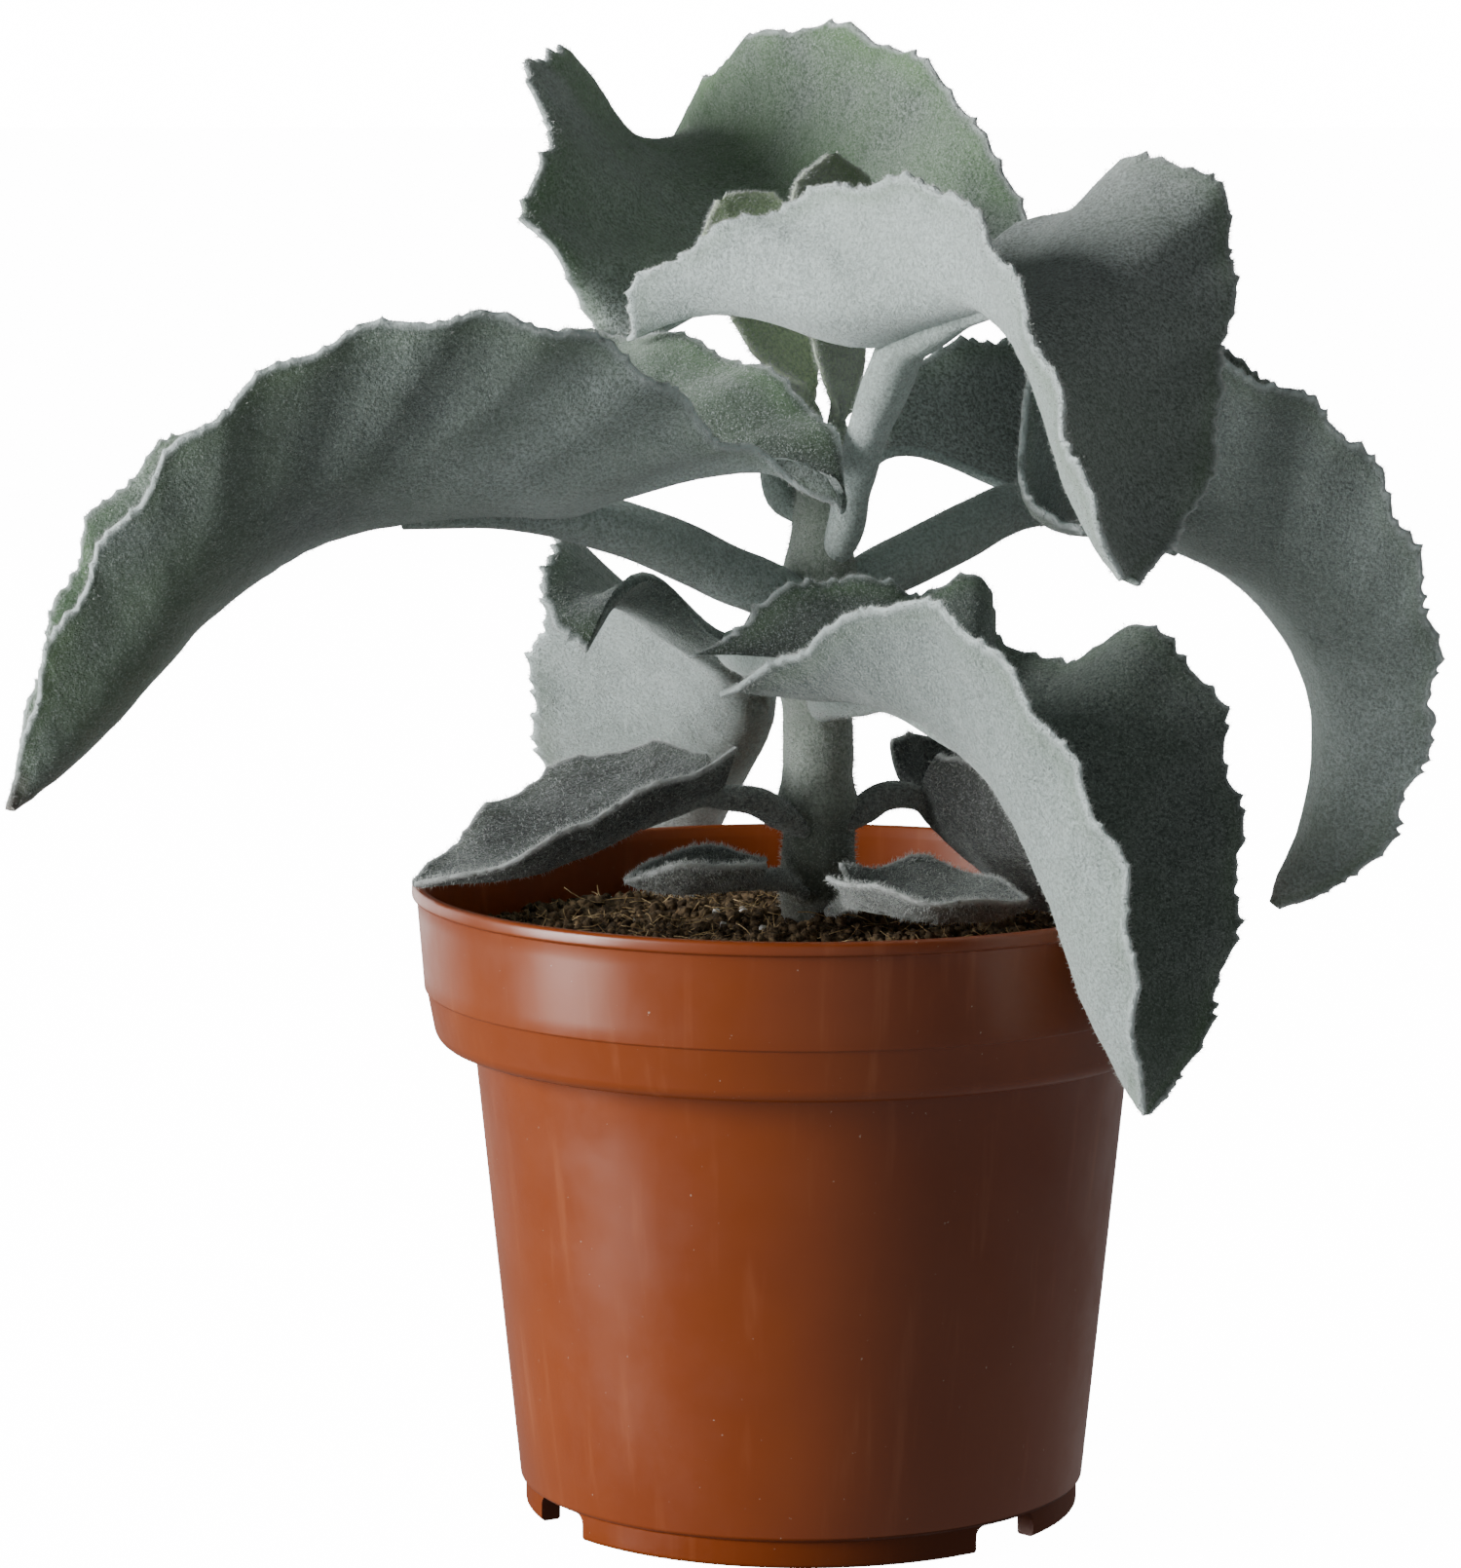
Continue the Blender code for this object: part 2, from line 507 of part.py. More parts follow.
def stem_tubes(name, growth, key=None):
    """The stem with its tap root and side roots; growth swells it, as the soil's cutter."""
    fractions = np.linspace(0.0, 1.0, 15)
    places = arc_length(np.array(STEM_PATH, float))
    path = smooth_curve(STEM_PATH, fractions) + np.array([STEM_X, STEM_Y, 0.0])
    radii = np.interp(fractions, places / places[-1], STEM_RADII) + growth
    path[0][2] -= growth
    made = tube(name, path, radii, STEM_SIDES, key)
    for number in range(ROOT_COUNT):
        angle = 2 * math.pi * number / ROOT_COUNT + 0.4
        share = np.linspace(0.0, 1.0, 6)[:, None]
        heading = np.array([math.cos(angle), math.sin(angle), 0.0])
        start = np.array([STEM_X + 0.5, STEM_Y + 7.2, ROOT_DEPTH - 1.5 * (number % 3)])
        root = start + heading * (ROOT_REACH * share) - np.array([0.0, 0.0, ROOT_DROP]) * share**1.5
        widths = np.linspace(2.6, 0.9, 6) + growth
        root[-1] += heading * growth
        boolean(made, tube("%s_root_%d" % (name, number), root, widths, 8), "UNION")
    return made


def build():
    """Make every piece of the plant and its pot."""
    for old in list(bpy.data.objects):
        bpy.data.objects.remove(old, do_unlink=True)
    axis = bpy.data.objects.new("pot_axis", None)
    axis.location = Vector(POT_AXIS) * MM
    bpy.context.scene.collection.objects.link(axis)
    pot()
    ground = soil()
    stem_tubes("stem", 0.0, "stem")
    boolean(ground, stem_tubes("root_space", GAP), "DIFFERENCE")
    for name, shape in LEAVES.items():
        leaf(name, shape, "young" if name.startswith("young") else "leaf")


build()
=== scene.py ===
"""Looks for the potted kalanchoe: felted grey-green leaves, peat and a nursery pot.

The shapes are drawn in millimetres about the pot's own axis, as the CAD part is,
and come out in metres in the part's frame.
"""

import math

import bmesh
import bpy
import numpy as np
from mathutils import Matrix, Vector, noise


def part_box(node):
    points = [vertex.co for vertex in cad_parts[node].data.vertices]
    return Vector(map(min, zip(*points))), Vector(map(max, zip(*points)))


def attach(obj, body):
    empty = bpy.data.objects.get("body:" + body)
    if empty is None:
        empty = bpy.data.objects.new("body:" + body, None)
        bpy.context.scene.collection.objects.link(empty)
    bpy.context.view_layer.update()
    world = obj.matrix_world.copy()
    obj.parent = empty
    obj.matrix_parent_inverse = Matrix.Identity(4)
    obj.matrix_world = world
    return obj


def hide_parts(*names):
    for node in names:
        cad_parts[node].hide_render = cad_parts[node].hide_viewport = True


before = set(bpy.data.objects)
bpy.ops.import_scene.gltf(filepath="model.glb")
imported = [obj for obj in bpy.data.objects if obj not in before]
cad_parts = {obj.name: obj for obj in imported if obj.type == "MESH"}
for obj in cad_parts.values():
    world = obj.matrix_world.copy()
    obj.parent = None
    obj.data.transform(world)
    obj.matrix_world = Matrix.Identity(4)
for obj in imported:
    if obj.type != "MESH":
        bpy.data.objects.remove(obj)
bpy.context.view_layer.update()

MM = 0.001
POT_LOW, POT_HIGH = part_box("pot")
POT_AXIS = np.array([(POT_LOW.x + POT_HIGH.x) / 2, (POT_LOW.y + POT_HIGH.y) / 2, 0.0])

# Pot, in millimetres.
POT_STEPS = 192
FOOT_HEIGHT = 4.6
FOOT_RADIUS = 42.9
FOOT_WIDTH = 3.2
FOOT_GAPS_DEG = (-150.0, -44.0, 30.0, 136.0)
FOOT_GAP_WIDTH = 13.0
BASE_RADIUS = 43.7
SHOULDER_RADIUS = 50.6
SHOULDER_HEIGHT = 73.0
COLLAR_RADIUS = 56.6
STEP_RADIUS = 57.8
STEP_HEIGHT = 81.0
RIM_RADIUS = 60.0
POT_HEIGHT = 97.4
WALL = 1.3
DRAIN_RADIUS = 3.6
DRAIN_CIRCLE = 30.0
DRAIN_COUNT = 6

# Peat, in millimetres.
PEAT_EDGE_RADIUS = 56.0
PEAT_EDGE_HEIGHT = 86.5
PEAT_CROWN_HEIGHT = 89.5
PEAT_CELLS = 150
PEAT_SIDE = ((PEAT_EDGE_RADIUS, 84.5), (54.6, 76.4), (48.8, 75.2), (43.0, 8.8), (41.2, 6.8))
SCATTER_RADIUS = 54.5
STRAW_RADIUS = 0.085
STRAW_STEPS = 5

# Stem, in the plant's own place in the pot.
STEM_X = 2.5
STEM_Y = 0.0
STEM_PATH = ((0.5, 8.0, 52.0), (0.5, 7.5, 66.0), (0.5, 7.0, 80.0), (0.3, 6.0, 90.0),
             (0.0, 3.5, 106.0), (0.0, 1.0, 122.0), (0.0, 0.0, 136.0), (0.2, 0.5, 148.0),
             (0.5, 1.0, 160.0))
STEM_RADII = (1.6, 3.6, 5.6, 5.9, 5.6, 5.4, 5.3, 5.0, 3.6)

# Blades.
BIG_THICKNESS = 1.9
SMALL_THICKNESS = 1.5
BIG_ROWS, BIG_COLUMNS = 420, 19
SMALL_ROWS, SMALL_COLUMNS = 200, 14
BIG_HAIR_COUNTS = (11000, 4500, 1400)    # on the faces, the margins and the stalk
SMALL_HAIR_COUNTS = (3000, 1800, 500)
TIP_TAPER = 3.0               # a blade is never thicker than its width over this
KEEL_WIDTH = 0.34
WAVE_PITCH = 17.0
WAVE_HEIGHT = 0.9
SINUS_BLEND = 0.22
RIM_STEPS = (2.2, 1.3, 0.8, 0.45, 0.2, 0.06)   # distances in from a blade's margin
RIM_ROUND = 1.0               # the margin is rounded over this distance
THICKNESS_LEVELS = 60
GREEN_BAND = (0.3, 2.6, 1.4)  # how worn it is, how far in from the margin and how wide
# Shares along a blade where painted light and shade are given, and a blade with none.
SHADING_STATIONS = (0.0, 0.4, 1.0)
NO_SHADING = ((0.0, 0.0, 0.0), (0.0, 0.0, 0.0))
HAIR_SUNK = 0.08              # a hair's foot is this far under the skin
HAIR_WIDTHS = (0.035, 0.055)
SHORTEST_HAIR = 0.4

# Each leaf is drawn out from the stem at its azimuth, sideways (positive to the left
# of someone looking out along it) and up. teeth is the pitch of the teeth and their
# depth on the left and right margin. green says how green the worn felt is, and is
# partly a painted green glow of light through the blade. The shading pairs are painted
# light (1) or painted shade (-1) at the shading stations, on the left half and the right half.
LEAVES = {
    "leaf_left": dict(
        azimuth=203, cup=3.0, teeth=(3.4, 0.55, 0.7), green=0.6,
        painted_shading=((1.0, -0.7, -0.8), (-1.0, 0.3, 1.0)), dry_tip=True,
        petiole=((7, 2.3, 141.5), (16, 2.5, 145.4), (28, 2.9, 151), (39, 2.2, 154.5)),
        radii=(4.3, 4.4, 4.4, 4.0),
        midrib=((40, 1, 156), (62, 0, 156), (80, -1, 153), (97, -1, 143), (112, -1, 128),
                (127, -2, 115)),
        left=((7, 23, 156), (18, 23, 164), (26, 24, 168), (36, 28, 176), (50, 30, 184),
              (66, 28, 187), (85, 21, 184), (103, 15, 172), (116, 8, 154), (124, 4, 137),
              (128, -1, 116)),
        right=((4, 17, 156), (2, 12, 166), (7, 3, 174), (22, -15, 181), (36, -24, 180),
               (60, -27, 176), (86, -28, 170), (106, -23, 158), (117, -14, 142),
               (128, -3, 115)),
        left_sinus=(27, 17, 163), right_sinus=(18, 5, 161)),
    "leaf_right": dict(
        azimuth=17, cup=3.0, teeth=(3.6, 0.9, 0.9), green=0.2,
        painted_shading=((1.0, 0.2, -0.2), (-0.5, -0.6, -0.1)), stalk_shading=1.0,
        petiole=((7.2, 1, 142.8), (16, 1.6, 146.6), (25, 3, 150.4), (34, 5, 153.6)),
        radii=(4.2, 4.3, 4.3, 3.8),
        midrib=((37, 6, 155), (48, 6, 152), (60, 7, 147), (73, 7, 140), (82, 6, 129),
                (86, 6, 115), (84, 7, 101), (78, 7, 89)),
        left=((11, 11, 157), (15, 16, 173), (25, 19, 177), (43, 24, 179), (65, 30, 178),
              (85, 28, 171), (98, 24, 153), (102, 19, 130), (96, 12, 107), (86, 8, 93),
              (79, 8, 89)),
        right=((39, -17, 152), (30, -14, 155), (28, -13, 166), (29, -15, 176), (39, -20, 180),
               (57, -24, 177), (76, -21, 168), (91, -17, 148), (98, -11, 127), (97, -5, 108),
               (91, 1, 94), (79, 6, 88)),
        left_sinus=(22, 9, 161), right_sinus=(37, -5, 153)),
    "leaf_front": dict(
        azimuth=-62, cup=2.5, teeth=(4.2, 1.1, 0.6), green=0.2,
        painted_shading=((-0.8, -0.2, -0.3), (-1.0, -0.4, 0.3)),
        petiole=((6.4, -1.8, 126.5), (12, -3, 127.5), (18, -3, 128)),
        radii=(3.5, 3.6, 3.2), stalk_shading=0.1,
        midrib=((19, -3, 130), (30, -2, 128), (41, 1, 123), (53, 4, 114), (61, 6, 102),
                (68, 9, 85), (73, 14, 72)),
        left=((5, -24, 133), (8, -15, 141), (12, -4, 146), (16, 7, 143), (18, 17, 145),
              (20, 21, 136), (27, 26, 132), (37, 36, 138), (44, 42, 131), (50, 43, 118),
              (56, 41, 105), (61, 35, 89), (66, 26, 77), (73, 15, 72)),
        right=((12, -24, 129), (20, -18, 134), (31, -14, 141), (42, -10, 145), (53, -7, 144),
               (63, -4, 137), (73, 1, 124), (81, 5, 109), (81, 7, 90), (74, 13, 72)),
        left_sinus=(11, -10, 134), right_sinus=(16, -13, 129)),
    "leaf_back": dict(
        azimuth=118, cup=3.0, teeth=(4.4, 1.1, 0.9), green=0.3,
        painted_shading=((-1.0, 1.0, 1.0), (-1.0, 1.0, 0.6)),
        petiole=((7, -0.5, 128), (13, 0, 129), (23, 0, 130), (29, -1, 130)),
        radii=(4.0, 3.8, 3.6, 3.0),
        midrib=((28, -1, 132), (34, -7, 127), (47, -16, 116), (58, -19, 108), (68, -20, 100),
                (78, -20, 88), (85, -17, 71)),
        left=((18, 30, 132), (24, 34, 137), (30, 32, 144), (40, 25, 149), (54, 20, 137),
              (66, 17, 123), (76, 10, 106), (84, 0, 89), (85, -10, 78), (85, -16, 71)),
        right=((30, -12, 136), (38, -16, 130), (46, -17, 129), (61, -18, 125), (76, -19, 118),
               (87, -20, 108), (96, -19, 90), (94, -17, 77), (86, -18, 71)),
        left_sinus=(24, 13, 141), right_sinus=(26, -5, 139)),
    "leaf_top_front": dict(
        azimuth=-55, cup=2.5, teeth=(3.8, 0.9, 0.9), green=0.3,
        painted_shading=((0.7, 0.7, 0.5), (0.9, 0.8, 0.5)), stalk_shading=1.0,
        petiole=((4.2, 0.8, 149.3), (7.8, 0.7, 158.4), (12.4, 0.3, 167.6), (17.3, 0.3, 175.2),
                 (21.2, 0.6, 180.9)),
        radii=(2.8, 2.9, 3.2, 3.8, 3.6),
        midrib=((23, 1, 182), (34, 2, 186), (44, 2, 187), (53, 2, 181), (60, 1, 172),
                (65, -1, 163), (69, 0, 155), (72, 2, 150)),
        left=((18, 30, 198), (21, 36, 202), (27, 39, 207), (33, 41, 208), (41, 45, 203),
              (46, 43, 194), (50, 40, 186), (55, 33, 177), (60, 29, 168), (66, 19, 157),
              (70, 10, 152), (73, 4, 149)),
        right=((-18, -23, 181), (-14, -25, 188), (-6, -21, 194.5), (0, -17, 198),
               (7.5, -9.5, 202.5), (20, -7, 205), (35.5, -5, 205), (49, -6, 199),
               (64, -8, 184), (73, -9, 171), (76, -7, 160), (74, 0, 150)),
        left_sinus=(21, 13, 190), right_sinus=(5, -11, 184)),
    # Its strong green is mostly a painted green glow of light shining through the blade.
    "leaf_top_back": dict(
        azimuth=125, cup=3.0, teeth=(5.2, 1.5, 0.9), green=1.3,
        painted_shading=((1.0, 1.0, 0.2), (0.2, 0.1, 0.0)),
        petiole=((6.5, 2.0, 156), (10, 0, 166), (15, -3, 178), (22, -7, 186)),
        radii=(2.8, 2.8, 2.8, 2.6),
        midrib=((23, -7, 188), (36, -12, 195), (53, -15, 205), (65, -18, 208), (78, -21, 206),
                (92, -27, 197), (103, -32, 176)),
        left=((28, 22, 181), (30, 28, 192), (34, 32, 199), (38, 24, 210), (48, 22, 221),
              (56, 10, 223), (68, -4, 217), (84, -13, 210), (98, -20, 200), (107, -27, 184),
              (103, -31, 176)),
        right=((-5, -34, 188), (-2, -38, 199), (6, -37, 209), (17, -35, 220), (30, -31, 226),
               (44, -24, 227), (56, -22, 222), (70, -26, 214), (83, -32, 205), (97, -37, 188),
               (103, -33, 176)),
        left_sinus=(23, 10, 182), right_sinus=(8, -16, 182)),
    "leaf_lower_left": dict(
        azimuth=195, cup=1.5, teeth=(6.0, 0.6, 0.6), green=0.0,
        painted_shading=((-1.0, -1.0, -1.0), (-1.0, -1.0, -0.8)),
        petiole=((6.8, 1.5, 108), (10, 2, 110), (15, 3, 111)),
        radii=(2.4, 2.4, 2.0),
        midrib=((17, 4, 113), (29, 5, 108), (38, 5, 104), (47, 4, 101), (57, 3, 100),
                (64, 2, 99.5)),
        left=((15, 8, 119), (24, 10, 116), (37, 11, 111), (46, 11, 106), (55, 8, 102),
              (64, 3, 100)),
        right=((17, -4, 117), (25, -17, 117), (36, -18, 114), (46, -15, 110), (56, -8, 104),
               (64, 1, 100)),
        left_sinus=(16, 6, 116), right_sinus=(17, 0, 115)),
    "leaf_lower_right": dict(
        azimuth=12, cup=1.5, teeth=(5.0, 0.6, 0.6), green=0.0,
        painted_shading=((-0.8, -0.8, -0.6), (-0.8, -0.8, -0.6)),
        petiole=((7.6, 1, 108), (10.5, 2, 109.5), (15, 3, 109.5)),
        radii=(2.4, 2.4, 2.0),
        midrib=((17, 5, 110), (20, 5, 105), (28, 5, 97), (34, 7, 92), (40, 8, 90)),
        left=((14, 12, 117), (19, 15, 118), (27, 19, 115), (36, 21, 108), (43, 18, 98),
              (41, 9, 90)),
        right=((19, -2, 117), (23, -5, 116), (28, -9, 111), (32, -10, 105), (36, -6, 97),
               (41, 7, 90)),
        left_sinus=(15, 9, 112), right_sinus=(17, 1, 112)),
    "leaf_soil_left": dict(
        azimuth=187, cup=1.0, teeth=(3.0, 0.3, 0.3), green=0.0,
        petiole=((6.8, 3, 98), (8, 3.6, 98), (9.6, 4.3, 98.2)),
        radii=(1.8, 1.8, 1.5),
        midrib=((10, 4.5, 98.5), (17, 7, 97.5), (24, 8, 97.5), (31, 10, 99)),
        left=((9, 8, 101), (16, 12, 102), (23, 14, 102), (31, 11, 99.5)),
        right=((8, 0, 101), (15, -3, 102), (22, -1, 102), (31, 9, 99.5)),
        left_sinus=(9.5, 6, 99), right_sinus=(9.5, 3, 99)),
    "leaf_soil_right": dict(
        azimuth=-12, cup=1.0, teeth=(3.4, 0.3, 0.4), green=0.1,
        painted_shading=((-0.6, -0.6, -0.3), (-0.6, -0.6, -0.3)),
        petiole=((6.5, -6, 95.5), (7.5, -10, 96), (9, -14, 96.5)),
        radii=(1.6, 1.6, 1.5),
        midrib=((8, -15, 97.5), (13, -16, 96), (18, -16, 95), (24, -14, 94.5), (29, -12, 94.5),
                (34, -9, 96)),
        left=((5, -10, 101), (10, -3, 100.5), (16, 2, 100.5), (24, 1, 99.5), (34, -8, 97)),
        right=((5, -19, 101), (13, -24, 100), (21, -25, 99), (28, -21, 98), (34, -10, 97)),
        left_sinus=(7, -12, 99.5), right_sinus=(7, -17, 99)),
    "young_leaf_left": dict(
        azimuth=200, cup=1.0, teeth=(3.0, 0.7, 0.7), green=0.9,
        painted_shading=((1.0, 1.0, 1.0), (1.0, 1.0, 1.0)),
        petiole=((-0.5, -3, 163), (-1, -4.5, 166), (-1, -6, 169)),
        radii=(1.6, 1.6, 1.4),
        midrib=((-1, -6, 169), (1, -9, 177), (5, -12, 187), (8, -15, 196), (10, -16, 201)),
        left=((1, -4, 173), (8, -7, 178), (13, -10, 187), (14, -14, 195), (11, -16, 201)),
        right=((-3, -8, 173), (-5, -13, 184), (-4, -16, 194), (1, -17, 202), (9, -17, 202)),
        left_sinus=(0, -5, 171), right_sinus=(-2, -7, 171)),
    "young_leaf_right": dict(
        azimuth=20, cup=1.0, teeth=(3.0, 0.7, 0.7), green=0.9,
        painted_shading=((1.0, 1.0, 1.0), (1.0, 1.0, 1.0)),
        petiole=((4, 0.5, 163), (4, 1.5, 165), (4, 3, 167)),
        radii=(1.8, 1.8, 1.5),
        midrib=((4, 3, 167), (5, 5, 176), (7, 8, 187), (7, 10, 198), (6, 11, 208)),
        left=((8, 6, 169), (12, 11, 181), (14, 14, 193), (14, 13, 203), (7, 12, 208)),
        right=((2, 0, 169), (0, 3, 181), (-1, 5, 193), (-2, 7, 203), (5, 10, 208)),
        left_sinus=(6, 4, 168), right_sinus=(3, 1, 168)),
}


# ---- materials ----

def new_material(name, colour, roughness):
    """A material with its Principled shader, and a function that adds a node to it."""
    made = bpy.data.materials.new(name)
    made.use_nodes = True
    tree = made.node_tree
    shader = tree.nodes["Principled BSDF"]
    shader.inputs["Base Color"].default_value = (*colour, 1.0)
    shader.inputs["Roughness"].default_value = roughness

    def add(kind, links=None, **settings):
        node = tree.nodes.new(kind)
        for key, value in settings.items():
            if hasattr(node, key):
                setattr(node, key, value)
            else:
                node.inputs[key.replace("_", " ")].default_value = value
        for socket, source in (links or {}).items():
            tree.links.new(source, node.inputs[socket])
        return node

    return made, tree, shader, add


def object_noise(add, place, scale, detail, roughness=0.55):
    """Noise in the piece's own coordinates; the scale is waves per metre."""
    node = add("ShaderNodeTexNoise", {"Vector": place}, Scale=scale, Detail=detail,
               Roughness=roughness)
    return node.outputs["Fac"]


def ramp(add, value, low, high):
    """Stretch a value from low..high to 0..1, smoothly."""
    node = add("ShaderNodeMapRange", {"Value": value}, interpolation_type="SMOOTHSTEP")
    node.inputs["From Min"].default_value = low
    node.inputs["From Max"].default_value = high
    return node.outputs["Result"]


def times(add, first, second):
    """Product of a socket and a socket or number."""
    node = add("ShaderNodeMath", {0: first}, operation="MULTIPLY")
    if isinstance(second, (int, float)):
        node.inputs[1].default_value = second
    else:
        node.id_data.links.new(second, node.inputs[1])
    return node.outputs[0]


def mixed(add, share, first, second):
    """Mix of two colours, each a socket or three numbers."""
    node = add("ShaderNodeMix", {"Factor": share}, data_type="RGBA")
    for index, colour in ((6, first), (7, second)):
        if isinstance(colour, tuple):
            node.inputs[index].default_value = (*colour, 1.0)
        else:
            node.id_data.links.new(colour, node.inputs[index])
    return node.outputs[2]


def blend(add, base, colour, value, low, high, most=1.0):
    """A base colour that turns to another by at most a share as a value rises."""
    return mixed(add, times(add, ramp(add, value, low, high), most), base, colour)


def finish(tree, shader, base, specular):
    """Give a shader its colour and how strongly it reflects."""
    tree.links.new(base, shader.inputs["Base Color"])
    shader.inputs["Specular IOR Level"].default_value = specular


def felt(name, dark, light, green, edge):
    """Plant felt: a dense nap over green skin. The mesh's attributes say where it is
    worn greener (partly a painted green glow of light through the blade), where light
    or shade is painted on, where its margin gets a painted bright edge, and where it is dead."""
    made, tree, shader, add = new_material(name, light, 0.95)
    place = add("ShaderNodeTexCoord").outputs["Object"]
    nap = object_noise(add, place, 1900.0, 3.0, 0.8)
    tips = object_noise(add, place, 3600.0, 1.0)
    clumps = object_noise(add, place, 420.0, 2.0)
    patches = object_noise(add, place, 38.0, 3.0)
    painted_shading, wear_and_glow, painted_edge_glow, dead = [add("ShaderNodeAttribute", attribute_name=kind).outputs["Fac"]
                             for kind in ("painted_shading", "wear_and_glow", "painted_edge_glow", "dead")]
    weave = ramp(add, nap, 0.36, 0.64)
    base = mixed(add, weave, tuple(0.8 * part for part in dark), light)
    base = blend(add, base, dark, clumps, 0.45, 0.75, 0.25)
    base = blend(add, base, dark, patches, 0.42, 0.70, 0.40)
    # Painted light and shade: above zero the shading attribute lightens the felt towards a
    # painted lit colour, below zero it darkens it towards the painted shade colour held in thin.
    lit_or_thickness = mixed(add, weave, tuple(0.8 * part for part in light), edge)
    base = blend(add, base, lit_or_thickness, painted_shading, 0.0, 1.0, 0.9)
    thin = tuple(0.22 * part for part in dark)
    base = blend(add, base, thin, painted_shading, 0.0, -1.0, 0.74)
    # Green of worn felt, which is partly a painted green glow of light shining through thin
    # blades.
    base = blend(add, base, green, patches, 0.2, 0.7, wear_and_glow)
    base = blend(add, base, edge, tips, 0.54, 0.70, 0.30)
    # Painted highlight: the margin is lightened towards the edge colour, a painted glow of the
    # lit hairs along it.
    base = blend(add, base, edge, clumps, 0.2, 0.5, painted_edge_glow)
    brown = mixed(add, ramp(add, clumps, 0.3, 0.7), (0.07, 0.06, 0.05), (0.30, 0.28, 0.25))
    finish(tree, shader, mixed(add, dead, base, brown), 0.1)
    shader.inputs["Sheen Weight"].default_value = 0.8
    shader.inputs["Sheen Roughness"].default_value = 0.35
    shader.inputs["Sheen Tint"].default_value = (0.93, 1.0, 0.97, 1.0)
    grain = add("ShaderNodeBump", {"Height": nap}, Strength=0.85, Distance=0.0006)
    soft = add("ShaderNodeBump", {"Height": clumps, "Normal": grain.outputs[0]},
               Strength=0.3, Distance=0.001)
    folds = add("ShaderNodeBump", {"Height": patches, "Normal": soft.outputs[0]},
                Strength=0.45, Distance=0.008)
    tree.links.new(folds.outputs[0], shader.inputs["Normal"])
    return made


def hair_material(name, colour):
    """Single pale hairs of the nap."""
    made, tree, shader, add = new_material(name, colour, 0.7)
    place = add("ShaderNodeTexCoord").outputs["Object"]
    shade = ramp(add, object_noise(add, place, 60.0, 3.0), 0.3, 0.7)
    darker = tuple(0.72 * part for part in colour)
    finish(tree, shader, mixed(add, shade, darker, colour), 0.2)
    shader.inputs["Sheen Weight"].default_value = 0.3
    return made


def pot_plastic():
    """Injection-moulded terracotta-coloured plastic with a satin skin and light scuffs."""
    made, tree, shader, add = new_material("terracotta_plastic", (0.27, 0.050, 0.003), 0.36)
    place = add("ShaderNodeTexCoord").outputs["Object"]
    cloud = object_noise(add, place, 22.0, 4.0)
    base = mixed(add, ramp(add, cloud, 0.3, 0.75), (0.205, 0.034, 0.001), (0.245, 0.045, 0.002))
    stretch = add("ShaderNodeMapping", {"Vector": place})
    stretch.inputs["Scale"].default_value = (1.0, 1.0, 0.06)
    streaks = object_noise(add, stretch.outputs[0], 300.0, 3.0)
    base = blend(add, base, (0.42, 0.13, 0.05), streaks, 0.55, 0.8, 0.25)
    dust = object_noise(add, place, 900.0, 2.0, 0.8)
    base = blend(add, base, (0.55, 0.42, 0.33), dust, 0.73, 0.78, 0.6)
    finish(tree, shader, base, 0.65)
    haze = ramp(add, object_noise(add, place, 70.0, 5.0, 0.7), 0.3, 0.8)
    rough = add("ShaderNodeMapRange", {"Value": haze})
    rough.inputs["To Min"].default_value = 0.31
    rough.inputs["To Max"].default_value = 0.44
    tree.links.new(rough.outputs[0], shader.inputs["Roughness"])
    fine = add("ShaderNodeBump", {"Height": streaks}, Strength=0.05, Distance=0.0003)
    ripple = add("ShaderNodeBump", {"Height": cloud, "Normal": fine.outputs[0]},
                 Strength=0.12, Distance=0.0015)
    tree.links.new(ripple.outputs[0], shader.inputs["Normal"])
    shader.inputs["IOR"].default_value = 1.5
    return made


def peat_material():
    """Damp brown peat with paler dry crumbs."""
    made, tree, shader, add = new_material("peat", (0.05, 0.028, 0.014), 0.95)
    place = add("ShaderNodeTexCoord").outputs["Object"]
    crumbs = object_noise(add, place, 700.0, 4.0, 0.7)
    patches = object_noise(add, place, 90.0, 3.0)
    base = mixed(add, ramp(add, crumbs, 0.35, 0.65), (0.04, 0.026, 0.014), (0.19, 0.13, 0.07))
    base = blend(add, base, (0.28, 0.20, 0.11), patches, 0.5, 0.75, 0.5)
    finish(tree, shader, base, 0.25)
    bump = add("ShaderNodeBump", {"Height": crumbs}, Strength=0.8, Distance=0.001)
    tree.links.new(bump.outputs[0], shader.inputs["Normal"])
    return made


def fleck_material(name, first, second, roughness):
    """Small bits in the peat, in two shades."""
    made, tree, shader, add = new_material(name, first, roughness)
    place = add("ShaderNodeTexCoord").outputs["Object"]
    shade = ramp(add, object_noise(add, place, 260.0, 2.0), 0.35, 0.65)
    finish(tree, shader, mixed(add, shade, first, second), 0.2)
    return made


